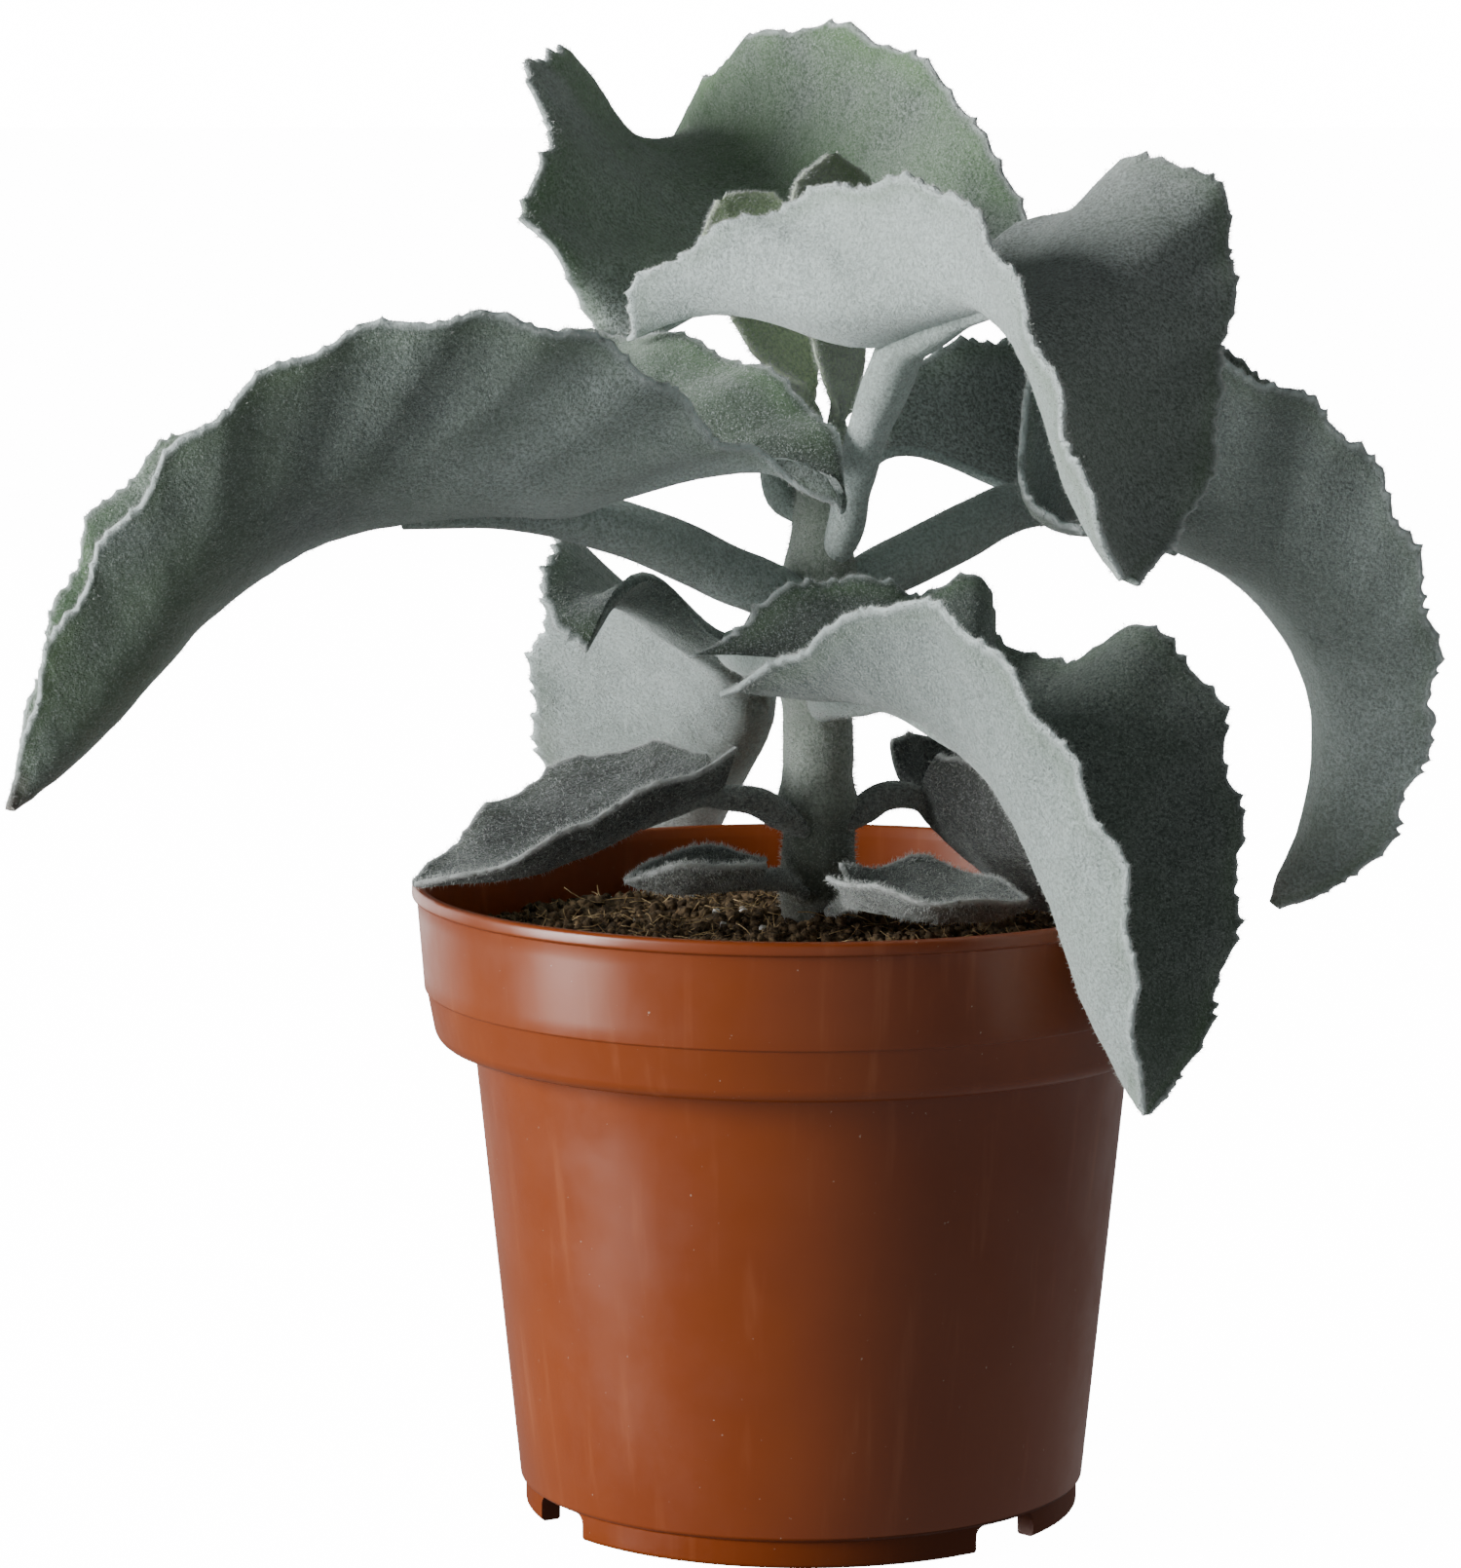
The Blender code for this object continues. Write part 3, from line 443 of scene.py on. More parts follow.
UNDER_FELT = felt("leaf_underside_felt", (0.34, 0.40, 0.38), (0.57, 0.66, 0.64),
                  (0.19, 0.28, 0.16), (0.76, 0.86, 0.84))
UPPER_FELT = felt("leaf_upper_felt", (0.15, 0.175, 0.165), (0.34, 0.38, 0.36),
                  (0.20, 0.36, 0.16), (0.74, 0.82, 0.80))
STEM_FELT = felt("stem_felt", (0.35, 0.40, 0.36), (0.57, 0.63, 0.58), (0.24, 0.32, 0.19),
                 (0.62, 0.66, 0.62))
OLD_UNDER_FELT = felt("old_leaf_underside_felt", (0.17, 0.18, 0.175), (0.37, 0.39, 0.38),
                      (0.12, 0.16, 0.11), (0.66, 0.69, 0.67))
OLD_UPPER_FELT = felt("old_leaf_upper_felt", (0.10, 0.11, 0.105), (0.26, 0.275, 0.27),
                      (0.10, 0.13, 0.09), (0.66, 0.69, 0.67))
YOUNG_UNDER_FELT = felt("young_leaf_underside_felt", (0.42, 0.50, 0.42), (0.68, 0.75, 0.66),
                        (0.34, 0.48, 0.24), (0.80, 0.90, 0.72))
YOUNG_UPPER_FELT = felt("young_leaf_upper_felt", (0.34, 0.43, 0.32), (0.58, 0.68, 0.55),
                        (0.32, 0.46, 0.22), (0.78, 0.88, 0.68))
HAIR = hair_material("nap_hair", (0.78, 0.82, 0.79))
PLASTIC = pot_plastic()
PEAT = peat_material()


# ---- shape tools ----

def smooth_curve(points, fractions):
    """Points at these fractions of a smooth curve through the given points."""
    knots = np.array(points, float)
    steps = np.linalg.norm(np.diff(knots, axis=0), axis=1)
    places = np.concatenate(([0.0], np.cumsum(steps))) / steps.sum()
    slopes = np.gradient(knots, places, axis=0)
    wanted = np.clip(np.atleast_1d(fractions), 0.0, 1.0)
    index = np.clip(np.searchsorted(places, wanted, side="right") - 1, 0, len(knots) - 2)
    width = (places[index + 1] - places[index])[:, None]
    share = (wanted[:, None] - places[index][:, None]) / width
    start, end = knots[index], knots[index + 1]
    h00 = 2 * share**3 - 3 * share**2 + 1
    h10 = share**3 - 2 * share**2 + share
    h01 = 3 * share**2 - 2 * share**3
    h11 = share**3 - share**2
    return h00 * start + h10 * width * slopes[index] + h01 * end + h11 * width * slopes[index + 1]


def unit(vectors):
    """Vectors scaled to length one."""
    lengths = np.linalg.norm(vectors, axis=-1, keepdims=True)
    return vectors / np.maximum(lengths, 1e-9)


def arc_length(points):
    """Distance run along a polyline, at each of its points."""
    steps = np.linalg.norm(np.diff(points, axis=0), axis=1)
    return np.concatenate(([0.0], np.cumsum(steps)))


def on_plant(local, azimuth):
    """Leaf-frame points in the pot's frame, in millimetres."""
    angle = math.radians(azimuth)
    turn = np.array([[math.cos(angle), -math.sin(angle), 0.0],
                     [math.sin(angle), math.cos(angle), 0.0],
                     [0.0, 0.0, 1.0]])
    return np.asarray(local, float) @ turn.T + np.array([STEM_X, STEM_Y, 0.0])


def noise_at(points, scale, seed=0.0):
    """Smooth noise from -1 to 1 at points in millimetres; the scale is a wave's length."""
    shift = Vector((seed, 2.0 * seed, -seed))
    flat = points.reshape(-1, 3)
    values = [noise.noise(Vector(spot) / scale + shift) for spot in flat]
    return np.array(values).reshape(points.shape[:-1])


def get_points(mesh):
    """A mesh's vertices as an array."""
    flat = np.empty(3 * len(mesh.vertices), np.float32)
    mesh.vertices.foreach_get("co", flat)
    return flat.reshape(-1, 3).astype(float)


def set_points(mesh, points_mm):
    """Move a mesh's vertices to points in millimetres about the pot's axis."""
    spots = points_mm * MM + POT_AXIS
    mesh.vertices.foreach_set("co", spots.astype(np.float32).ravel())
    mesh.update()


def mesh_in_place(work, name):
    """A mesh out of a bmesh drawn in millimetres about the pot's axis."""
    mesh = mesh_from(work, name)
    set_points(mesh, get_points(mesh))
    return mesh


def add_piece(name, mesh, material, nodes=()):
    """Show a mesh as a smooth piece of the plant that stands for these CAD nodes."""
    made = bpy.data.objects.new(name, mesh)
    bpy.context.scene.collection.objects.link(made)
    mesh.shade_smooth()
    mesh.materials.append(material)
    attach(made, "root")
    if nodes:
        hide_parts(*nodes)
    return made


def mesh_from(work, name):
    """A mesh out of a bmesh."""
    mesh = bpy.data.meshes.new(name)
    work.to_mesh(mesh)
    work.free()
    return mesh


def paint_felt(mesh, wear_and_glow, painted_shading, painted_edge_glow=0.0, dead=0.0):
    """Give a mesh's vertices the attributes that its felt reads."""
    for name, values in (("wear_and_glow", wear_and_glow), ("painted_edge_glow", painted_edge_glow), ("dead", dead), ("painted_shading", painted_shading)):
        made = mesh.attributes.new(name, "FLOAT", "POINT")
        spread = np.broadcast_to(np.asarray(values, np.float32), len(mesh.vertices))
        made.data.foreach_set("value", spread.copy())


# ---- blades and stalks ----

def scallops(run, pitch, seed):
    """Pointed teeth with hollow scallops between them, 0 to 1, uneven along the margin."""
    drift = 0.22 * np.sin(run / pitch * 1.7 + seed) + 0.15 * np.sin(run / pitch * 4.1 + 2 * seed)
    phase = (run / pitch + drift) % 1.0
    uneven = 0.75 + 0.25 * np.sin(run / pitch * 2.3 + 3 * seed)
    return np.abs(2.0 * phase - 1.0)**1.8 * uneven


def blade_surface(shape, rows, columns, seed):
    """Points of a blade's middle surface, in millimetres, and each one's distance in."""
    along = np.linspace(0.0, 1.0, rows + 1)
    midrib = smooth_curve(shape["midrib"], along)
    left = smooth_curve(shape["left"], along)
    right = smooth_curve(shape["right"], along)
    tangent = unit(np.gradient(midrib, axis=0))
    lateral = unit(unit(left - midrib) - unit(right - midrib))
    upward = unit(np.cross(tangent, lateral))
    fade = np.clip(1.0 - along / SINUS_BLEND, 0.0, 1.0)[:, None]**2
    pitch, left_depth, right_depth = shape["teeth"]
    sides = []
    insets = []
    plans = ((left, 1.0, shape["left_sinus"], left_depth),
             (right, -1.0, shape["right_sinus"], right_depth))
    for edge, sign, sinus, depth in plans:
        rib = edge - midrib
        reach = np.linalg.norm(rib, axis=1, keepdims=True)
        near = midrib + sign * lateral * reach * KEEL_WIDTH
        far = midrib + rib * 0.62 - upward * shape["cup"] * np.minimum(reach / 20.0, 1.0)
        through = (8 * np.array(sinus, float) - midrib[0] - 3 * near[0] - edge[0]) / 3
        far = far + fade * (through - far[0])
        run = arc_length(edge)
        calm = np.minimum(reach / 15.0, 1.0)
        wave = calm * WAVE_HEIGHT * np.sin(2 * math.pi * run / WAVE_PITCH + 2.0 * sign)[:, None]
        tooth = scallops(run, pitch, seed + sign)[:, None]
        outward = unit(edge - far)
        speed = 3.0 * np.linalg.norm(edge - far, axis=1, keepdims=True) + 0.3
        inset_scale = np.minimum(1.0, reach / 9.0)
        strip = []
        depths = []
        for place in np.linspace(0.0, 1.0, columns - len(RIM_STEPS) + 1):
            start = 1.0 - RIM_STEPS[0] * inset_scale / speed
            strip.append(np.clip(place * start, 0.0, 1.0))
        for step in RIM_STEPS[1:]:
            strip.append(1.0 - step * inset_scale / speed)
        strip.append(np.ones_like(speed))
        for number, share in enumerate(strip):
            point = ((1 - share)**3 * midrib + 3 * share * (1 - share)**2 * near
                     + 3 * share**2 * (1 - share) * far + share**3 * edge)
            point = point + upward * wave * share**3
            inset = (1.0 - share) * speed
            lip = np.clip(1.0 - inset / (2.2 * pitch), 0.0, 1.0)**2
            point = point + outward * (tooth - 0.35) * depth * calm * lip
            point = point + upward * (tooth - 0.3) * 0.4 * depth * calm * lip**2
            strip[number] = point
            depths.append(inset[:, 0])
        sides.append(np.array(strip))
        insets.append(np.array(depths))
    grid = np.concatenate((sides[0][::-1], sides[1][1:])).transpose(1, 0, 2)
    inset = np.concatenate((insets[0][::-1], insets[1][1:])).T
    return on_plant(grid, shape["azimuth"]), inset


def facing_of(points):
    """Unit normals of a grid of points."""
    return unit(np.cross(np.gradient(points, axis=0), np.gradient(points, axis=1)))


def half_thickness(points, full):
    """Half of a blade's thickness in each row; it thins where the blade narrows."""
    width = np.linalg.norm(points[:, 0] - points[:, -1], axis=1) + 0.4
    return 0.5 * np.minimum(full, width / TIP_TAPER)


def blade(name, shape, rows, columns, full, felts, seed):
    """A leaf's blade: a grid laid on its surface, thickened, with a rounded margin."""
    points, inset = blade_surface(shape, rows, columns, seed)
    facing = facing_of(points)
    ripple = 0.35 * noise_at(points, 9.0, seed) + 0.12 * noise_at(points, 2.6, seed)
    points = points + facing * ripple[..., None]
    half = half_thickness(points, full)
    across = points.shape[1]
    work = bmesh.new()
    work.loops.layers.uv.new("UVMap")
    bmesh.ops.create_grid(work, x_segments=across - 1, y_segments=rows, size=1.0, calc_uvs=True)
    mesh = mesh_from(work, name)
    flat = get_points(mesh)
    column = np.rint((flat[:, 0] + 1) / 2 * (across - 1)).astype(int)
    row = np.rint((flat[:, 1] + 1) / 2 * rows).astype(int)
    set_points(mesh, points[row, column])
    share = row / rows
    depth = inset[row, column]
    strength, place, width = GREEN_BAND
    band = strength * np.exp(-((depth - place) / width)**2)
    # Painted light and shade: the leaf's shading pairs lighten or darken each half of the blade
    # along its length.
    painted_shadings = shape.get("painted_shading", NO_SHADING)
    left_shading, right_shading = [np.interp(share, SHADING_STATIONS, painted_shading) for painted_shading in painted_shadings]
    to_right = np.clip(0.5 + (column - 0.5 * (across - 1)) / 6.0, 0.0, 1.0)
    paint_felt(mesh, wear_and_glow=shape["green"] * (0.2 + 0.8 * share) + band,
               painted_shading=left_shading + (right_shading - left_shading) * to_right,
               # Painted bright edge within about a millimetre of the margin.
               painted_edge_glow=np.clip(1.25 - depth / 0.9, 0.0, 1.0),
               dead=np.clip((share - 0.95) / 0.05, 0.0, 1.0) if "dry_tip" in shape else 0.0)
    made = add_piece(name, mesh, felts[0], (name,))
    mesh.materials.append(felts[1])
    group = made.vertex_groups.new(name="thickness")
    inward = np.clip(depth / RIM_ROUND, 0.0, 1.0)
    slim = 0.6 + 0.4 * np.clip(depth / 6.0, 0.0, 1.0)
    fullness = np.sqrt(1.0 - (1.0 - inward)**2) * slim * half[row] * 2 / full
    levels = np.rint(np.clip(fullness, 0.05, 1.0) * THICKNESS_LEVELS).astype(int)
    for level in np.unique(levels):
        weight = float(level / THICKNESS_LEVELS)
        group.add(np.flatnonzero(levels == level).tolist(), weight, "REPLACE")
    solid = made.modifiers.new("thickness", "SOLIDIFY")
    solid.thickness = full * MM
    solid.offset = 0.0
    solid.vertex_group = "thickness"
    solid.material_offset = 1
    solid.material_offset_rim = 1
    return points, facing, half


def ring_frames(path, radii):
    """A matrix for each ring of a tube: its place, its turn and its size."""
    tangents = unit(np.gradient(path, axis=0))
    heading = Vector(tangents[0])
    turn = Vector((0.0, 0.0, 1.0)).rotation_difference(heading).to_matrix()
    frames = []
    for place, tangent, radius in zip(path, tangents, radii):
        turn = heading.rotation_difference(Vector(tangent)).to_matrix() @ turn
        heading = Vector(tangent)
        size = Matrix.Diagonal((radius, radius, radius, 1.0))
        frames.append(Matrix.Translation(Vector(place)) @ turn.to_4x4() @ size)
    return frames


def grow(work, edges):
    """Extrude a loop of edges, and give the new ring's vertices and edges."""
    grown = bmesh.ops.extrude_edge_only(work, edges=edges)["geom"]
    ring = [item for item in grown if isinstance(item, bmesh.types.BMVert)]
    border = [item for item in grown if isinstance(item, bmesh.types.BMEdge)
              and item.is_boundary]
    return ring, border


def lumpy_tube(name, path, radii, sides, waves):
    """A tube with low lumps: waves lists the height, the length and the seed of each."""
    mesh = tube(name, path, radii, sides)
    spots = get_points(mesh)
    nearest = np.argmin(np.linalg.norm(spots[:, None] - path[None], axis=2), axis=1)
    lumps = sum(height * noise_at(spots, length, seed) for height, length, seed in waves)
    set_points(mesh, spots + unit(spots - path[nearest]) * lumps[:, None])
    return mesh, spots


def tube(name, path, radii, sides):
    """A closed round tube along a path: a circle that is extruded from ring to ring."""
    frames = ring_frames(path, radii)
    work = bmesh.new()
    bmesh.ops.create_circle(work, cap_ends=True, segments=sides, radius=1.0)
    bmesh.ops.transform(work, matrix=frames[0], verts=work.verts)
    edges = work.edges[:]
    for before, after in zip(frames, frames[1:]):
        ring, edges = grow(work, edges)
        bmesh.ops.transform(work, matrix=after @ before.inverted(), verts=ring)
    bmesh.ops.contextual_create(work, geom=edges)
    bmesh.ops.recalc_face_normals(work, faces=work.faces)
    return mesh_from(work, name)


def hair_placements(spots, headings, lengths, widths, generator):
    """Corner points of one thin cone per hair, in millimetres."""
    helper = np.where(np.abs(headings[:, 2:3]) < 0.9, [[0.0, 0.0, 1.0]], [[1.0, 0.0, 0.0]])
    first = unit(np.cross(headings, helper))
    second = np.cross(headings, first)
    spin = generator.uniform(0.0, 2.0 * math.pi, len(spots))
    corners = []
    for third in range(3):
        angle = spin - third * 2.0 * math.pi / 3.0
        aside = first * np.cos(angle)[:, None] + second * np.sin(angle)[:, None]
        corners.append(spots + aside * widths[:, None])
    corners.append(spots + headings * lengths[:, None])
    return np.array(corners).transpose(1, 0, 2)


def hairs(name, spots, headings, longest, generator):
    """A coat of short hairs: one small cone, doubled until there are enough."""
    lengths = generator.uniform(SHORTEST_HAIR, longest, len(spots))
    widths = generator.uniform(*HAIR_WIDTHS, len(spots))
    corners = hair_placements(spots, headings, lengths, widths, generator)
    work = bmesh.new()
    number = work.verts.layers.int.new("hair")
    kind = work.verts.layers.int.new("corner")
    bmesh.ops.create_cone(work, cap_ends=True, segments=3, radius1=1.0, radius2=0.0, depth=1.0)
    order = sorted(work.verts, key=lambda vert: (vert.co.z, math.atan2(vert.co.y, vert.co.x)))
    for index, vert in enumerate(order):
        vert[kind] = index
    count = 1
    while count < len(spots):
        kept = work.verts[:]
        if 2 * count > len(spots):
            kept = [vert for vert in kept if vert[number] < len(spots) - count]
        faces = list({face for vert in kept for face in vert.link_faces})
        edges = list({edge for vert in kept for edge in vert.link_edges})
        copies = bmesh.ops.duplicate(work, geom=kept + edges + faces)["geom"]
        for item in copies:
            if isinstance(item, bmesh.types.BMVert):
                item[number] += count
        count = min(2 * count, len(spots))
    mesh = mesh_from(work, name)
    which = np.empty(len(mesh.vertices), np.int32)
    corner = np.empty(len(mesh.vertices), np.int32)
    mesh.attributes["hair"].data.foreach_get("value", which)
    mesh.attributes["corner"].data.foreach_get("value", corner)
    set_points(mesh, corners[which, corner])
    mesh.attributes.remove(mesh.attributes["hair"])
    mesh.attributes.remove(mesh.attributes["corner"])
    add_piece(name, mesh, HAIR)


def leaning(headings, lean, generator):
    """Headings tipped at random by about this share."""
    return unit(headings + generator.normal(0.0, lean, headings.shape))


def blade_hairs(points, facing, half, count, edge_count, generator):
    """Places and headings for hairs on both faces of a blade and along its margins."""
    rows, columns = points.shape[:2]
    areas = np.linalg.norm(np.cross(np.gradient(points, axis=0), np.gradient(points, axis=1)),
                           axis=-1)
    chance = (areas / areas.sum()).ravel()
    picked = generator.choice(rows * columns, count, p=chance)
    row, column = picked // columns, picked % columns
    drift_row = np.clip(row + generator.uniform(-0.5, 0.5, count), 0, rows - 1.001)
    drift_column = np.clip(column + generator.uniform(-0.5, 0.5, count), 0, columns - 1.001)
    spots = between(points, drift_row, drift_column)
    normals = unit(between(facing, drift_row, drift_column))
    side = generator.choice([-1.0, 1.0], count)[:, None]
    spots = spots + normals * side * (half[row][:, None] - HAIR_SUNK)
    headings = leaning(normals * side, 0.45, generator)
    edge_row = generator.uniform(0, rows - 1.001, edge_count)
    edge_side = generator.integers(0, 2, edge_count)
    last = edge_side * (columns - 1.001)
    inner = np.where(edge_side == 1, columns - 1.001 - len(RIM_STEPS), len(RIM_STEPS))
    margin = between(points, edge_row, last)
    outward = unit(margin - between(points, edge_row, inner))
    normal = unit(between(facing, edge_row, last))
    roll = generator.uniform(-1.0, 1.0, edge_count)[:, None]
    lit_or_thickness = half[edge_row.astype(int)][:, None]
    edge_spots = margin + normal * roll * lit_or_thickness * 0.7 - outward * (0.05 + 0.5 * np.abs(roll))
    edge_headings = leaning(outward + normal * roll * 0.8, 0.3, generator)
    return np.concatenate((spots, edge_spots)), np.concatenate((headings, edge_headings))


def between(grid, row, column):
    """Values of a grid at fractional rows and columns."""
    low_row, low_column = np.floor(row).astype(int), np.floor(column).astype(int)
    down, over = (row - low_row)[:, None], (column - low_column)[:, None]
    top = grid[low_row, low_column] * (1 - over) + grid[low_row, low_column + 1] * over
    bottom = grid[low_row + 1, low_column] * (1 - over) + grid[low_row + 1, low_column + 1] * over
    return top * (1 - down) + bottom * down


def tube_hairs(path, radii, count, generator, low=0.0, high=1.0):
    """Places and headings for hairs on a tube between two shares of its length."""
    places = arc_length(path)
    share = generator.uniform(low, high, count) * places[-1]
    centre = np.stack([np.interp(share, places, path[:, axis]) for axis in range(3)], axis=1)
    slopes = unit(np.gradient(path, axis=0))
    tangent = unit(np.stack([np.interp(share, places, slopes[:, axis]) for axis in range(3)],
                            axis=1))
    radius = np.interp(share, places, radii)[:, None]
    around = unit(np.cross(tangent, generator.normal(0.0, 1.0, (count, 3))))
    return centre + around * (radius - HAIR_SUNK), leaning(around, 0.4, generator)


def stalk(name, shape, material):
    """A leaf's stalk: it starts inside the stem and fades into the midrib as a keel."""
    path = np.array(shape["petiole"], float)
    root = path[0] * (0.3, 0.3, 1.0) - (0.0, 0.0, 3.0)
    path = [root] + list(path)
    radii = [0.55 * shape["radii"][0]] + list(shape["radii"])
    for share, size in ((0.06, 0.8), (0.15, 0.55), (0.27, 0.3)):
        spot = smooth_curve(shape["midrib"], share)[0]
        path.append((spot[0], spot[1], spot[2] - 0.5))
        radii.append(size * shape["radii"][-1])
    places = arc_length(np.array(path, float))
    fractions = np.linspace(0.0, 1.0, 61)
    line = on_plant(smooth_curve(path, fractions), shape["azimuth"])
    widths = np.interp(fractions, places / places[-1], radii)
    kernel = np.hanning(9) / np.hanning(9).sum()
    widths = np.convolve(np.pad(widths, 4, mode="edge"), kernel, mode="valid")
    mesh, _ = lumpy_tube(name + "_stalk", line, widths, 28, ((0.16, 5.0, 3.0),))
    # The stalk's shading value is painted light on the stalk.
    paint_felt(mesh, wear_and_glow=0.2, painted_shading=shape.get("stalk_shading", 0.3))
    add_piece(name + "_stalk", mesh, material, (name,))
    return line, widths


def build_leaf(name, shape, seed):
    """One whole leaf: its blade, its stalk and its coat of hairs."""
    generator = np.random.default_rng(1000 + seed)
    small = "leaf_soil" in name or "young" in name or "lower" in name
    felts = (UPPER_FELT, UNDER_FELT)
    if "young" in name:
        felts = (YOUNG_UPPER_FELT, YOUNG_UNDER_FELT)
    elif small:
        felts = (OLD_UPPER_FELT, OLD_UNDER_FELT)
    rows, columns, full = BIG_ROWS, BIG_COLUMNS, BIG_THICKNESS
    counts = BIG_HAIR_COUNTS
    if small:
        rows, columns, full = SMALL_ROWS, SMALL_COLUMNS, SMALL_THICKNESS
        counts = SMALL_HAIR_COUNTS
    points, facing, half = blade(name, shape, rows, columns, full, felts, seed)
    line, widths = stalk(name, shape, felts[1])
    spots, headings = blade_hairs(points, facing, half, counts[0], counts[1], generator)
    more, ways = tube_hairs(line, widths, counts[2], generator, 0.05, 0.7)
    spots, headings = np.concatenate((spots, more)), np.concatenate((headings, ways))
    hairs(name + "_nap", spots, headings, 0.95 if small else 0.8, generator)


def build_stem():
    """The stem, with swollen joints where leaves and old leaves sit."""
    fractions = np.linspace(0.0, 1.0, 140)
    places = arc_length(np.array(STEM_PATH, float))
    path = smooth_curve(STEM_PATH, fractions) + np.array([STEM_X, STEM_Y, 0.0])
    radii = np.interp(fractions, places / places[-1], STEM_RADII)
    for height, swell in ((96.0, 0.5), (109.0, 0.8), (127.0, 0.6), (145.0, 0.5)):
        radii = radii + swell * np.exp(-((path[:, 2] - height) / 2.4)**2)
    mesh, spots = lumpy_tube("stem", path, radii, 44, ((0.3, 7.0, 1.0), (0.12, 2.0, 5.0)))
    soiled = np.clip((104.0 - spots[:, 2]) / 16.0, 0.0, 1.0) * 0.75
    # Painted shade: the stem darkens towards its foot, below and under the leaves.
    painted_shading = np.clip((spots[:, 2] - 114.0) / 9.0, -1.0, 0.2)
    paint_felt(mesh, wear_and_glow=0.25, painted_shading=painted_shading, dead=soiled)
    add_piece("stem", mesh, STEM_FELT, ("stem",))
    generator = np.random.default_rng(77)
    above = float(np.interp(92.0, path[:, 2], fractions))
    spots, headings = tube_hairs(path, radii, 8000, generator, above, 1.0)
    hairs("stem_nap", spots, headings, 1.0, generator)


# ---- pot ----

def outer_radius(height):
    """Outside of the pot's tapering body below its collar."""
    share = (height - FOOT_HEIGHT) / (SHOULDER_HEIGHT - FOOT_HEIGHT)
    return BASE_RADIUS + share * (SHOULDER_RADIUS - BASE_RADIUS)


def pot_profile():
    """Radius, height and corner rounding of the pot's section, from under its floor."""
    floor_top = FOOT_HEIGHT + 1.6
    return (
        (0.0, FOOT_HEIGHT, 0.0), (FOOT_RADIUS - FOOT_WIDTH, FOOT_HEIGHT, 0.3),
        (FOOT_RADIUS - FOOT_WIDTH, 0.0, 0.5), (FOOT_RADIUS, 0.0, 0.7),
        (FOOT_RADIUS, FOOT_HEIGHT - 0.5, 0.15), (BASE_RADIUS, FOOT_HEIGHT, 0.25),
        (SHOULDER_RADIUS, SHOULDER_HEIGHT, 0.5),
        (COLLAR_RADIUS - 0.9, SHOULDER_HEIGHT + 0.1, 1.0),
        (COLLAR_RADIUS, SHOULDER_HEIGHT + 1.6, 0.5), (STEP_RADIUS, STEP_HEIGHT, 0.12),
        (STEP_RADIUS + 0.35, STEP_HEIGHT + 0.25, 0.12),
        (RIM_RADIUS - 0.75, POT_HEIGHT - 2.2, 0.12),
        (RIM_RADIUS, POT_HEIGHT - 1.9, 0.25), (RIM_RADIUS, POT_HEIGHT, 0.7),
        (RIM_RADIUS - WALL - 0.4, POT_HEIGHT, 0.4),
        (RIM_RADIUS - WALL - 0.9, POT_HEIGHT - 1.8, 0.3),
        (STEP_RADIUS - WALL, STEP_HEIGHT, 0.3),
        (COLLAR_RADIUS - WALL, SHOULDER_HEIGHT + 2.4, 0.5),
        (SHOULDER_RADIUS - WALL, SHOULDER_HEIGHT + WALL, 0.5),
        (outer_radius(floor_top) - WALL, floor_top, 1.0), (0.0, floor_top, 0.0),
    )


def carve(target, cutter_mesh):
    """Cut a mesh out of an object for good."""
    tool = bpy.data.objects.new("cutter", cutter_mesh)
    bpy.context.scene.collection.objects.link(tool)
    cut = target.modifiers.new("cut", "BOOLEAN")
    cut.operation = "DIFFERENCE"
    cut.solver = "EXACT"
    cut.object = tool
    bpy.context.view_layer.update()
    solved = target.evaluated_get(bpy.context.evaluated_depsgraph_get())
    made = bpy.data.meshes.new_from_object(solved)
    target.modifiers.clear()
    target.data = made
    bpy.data.objects.remove(tool)


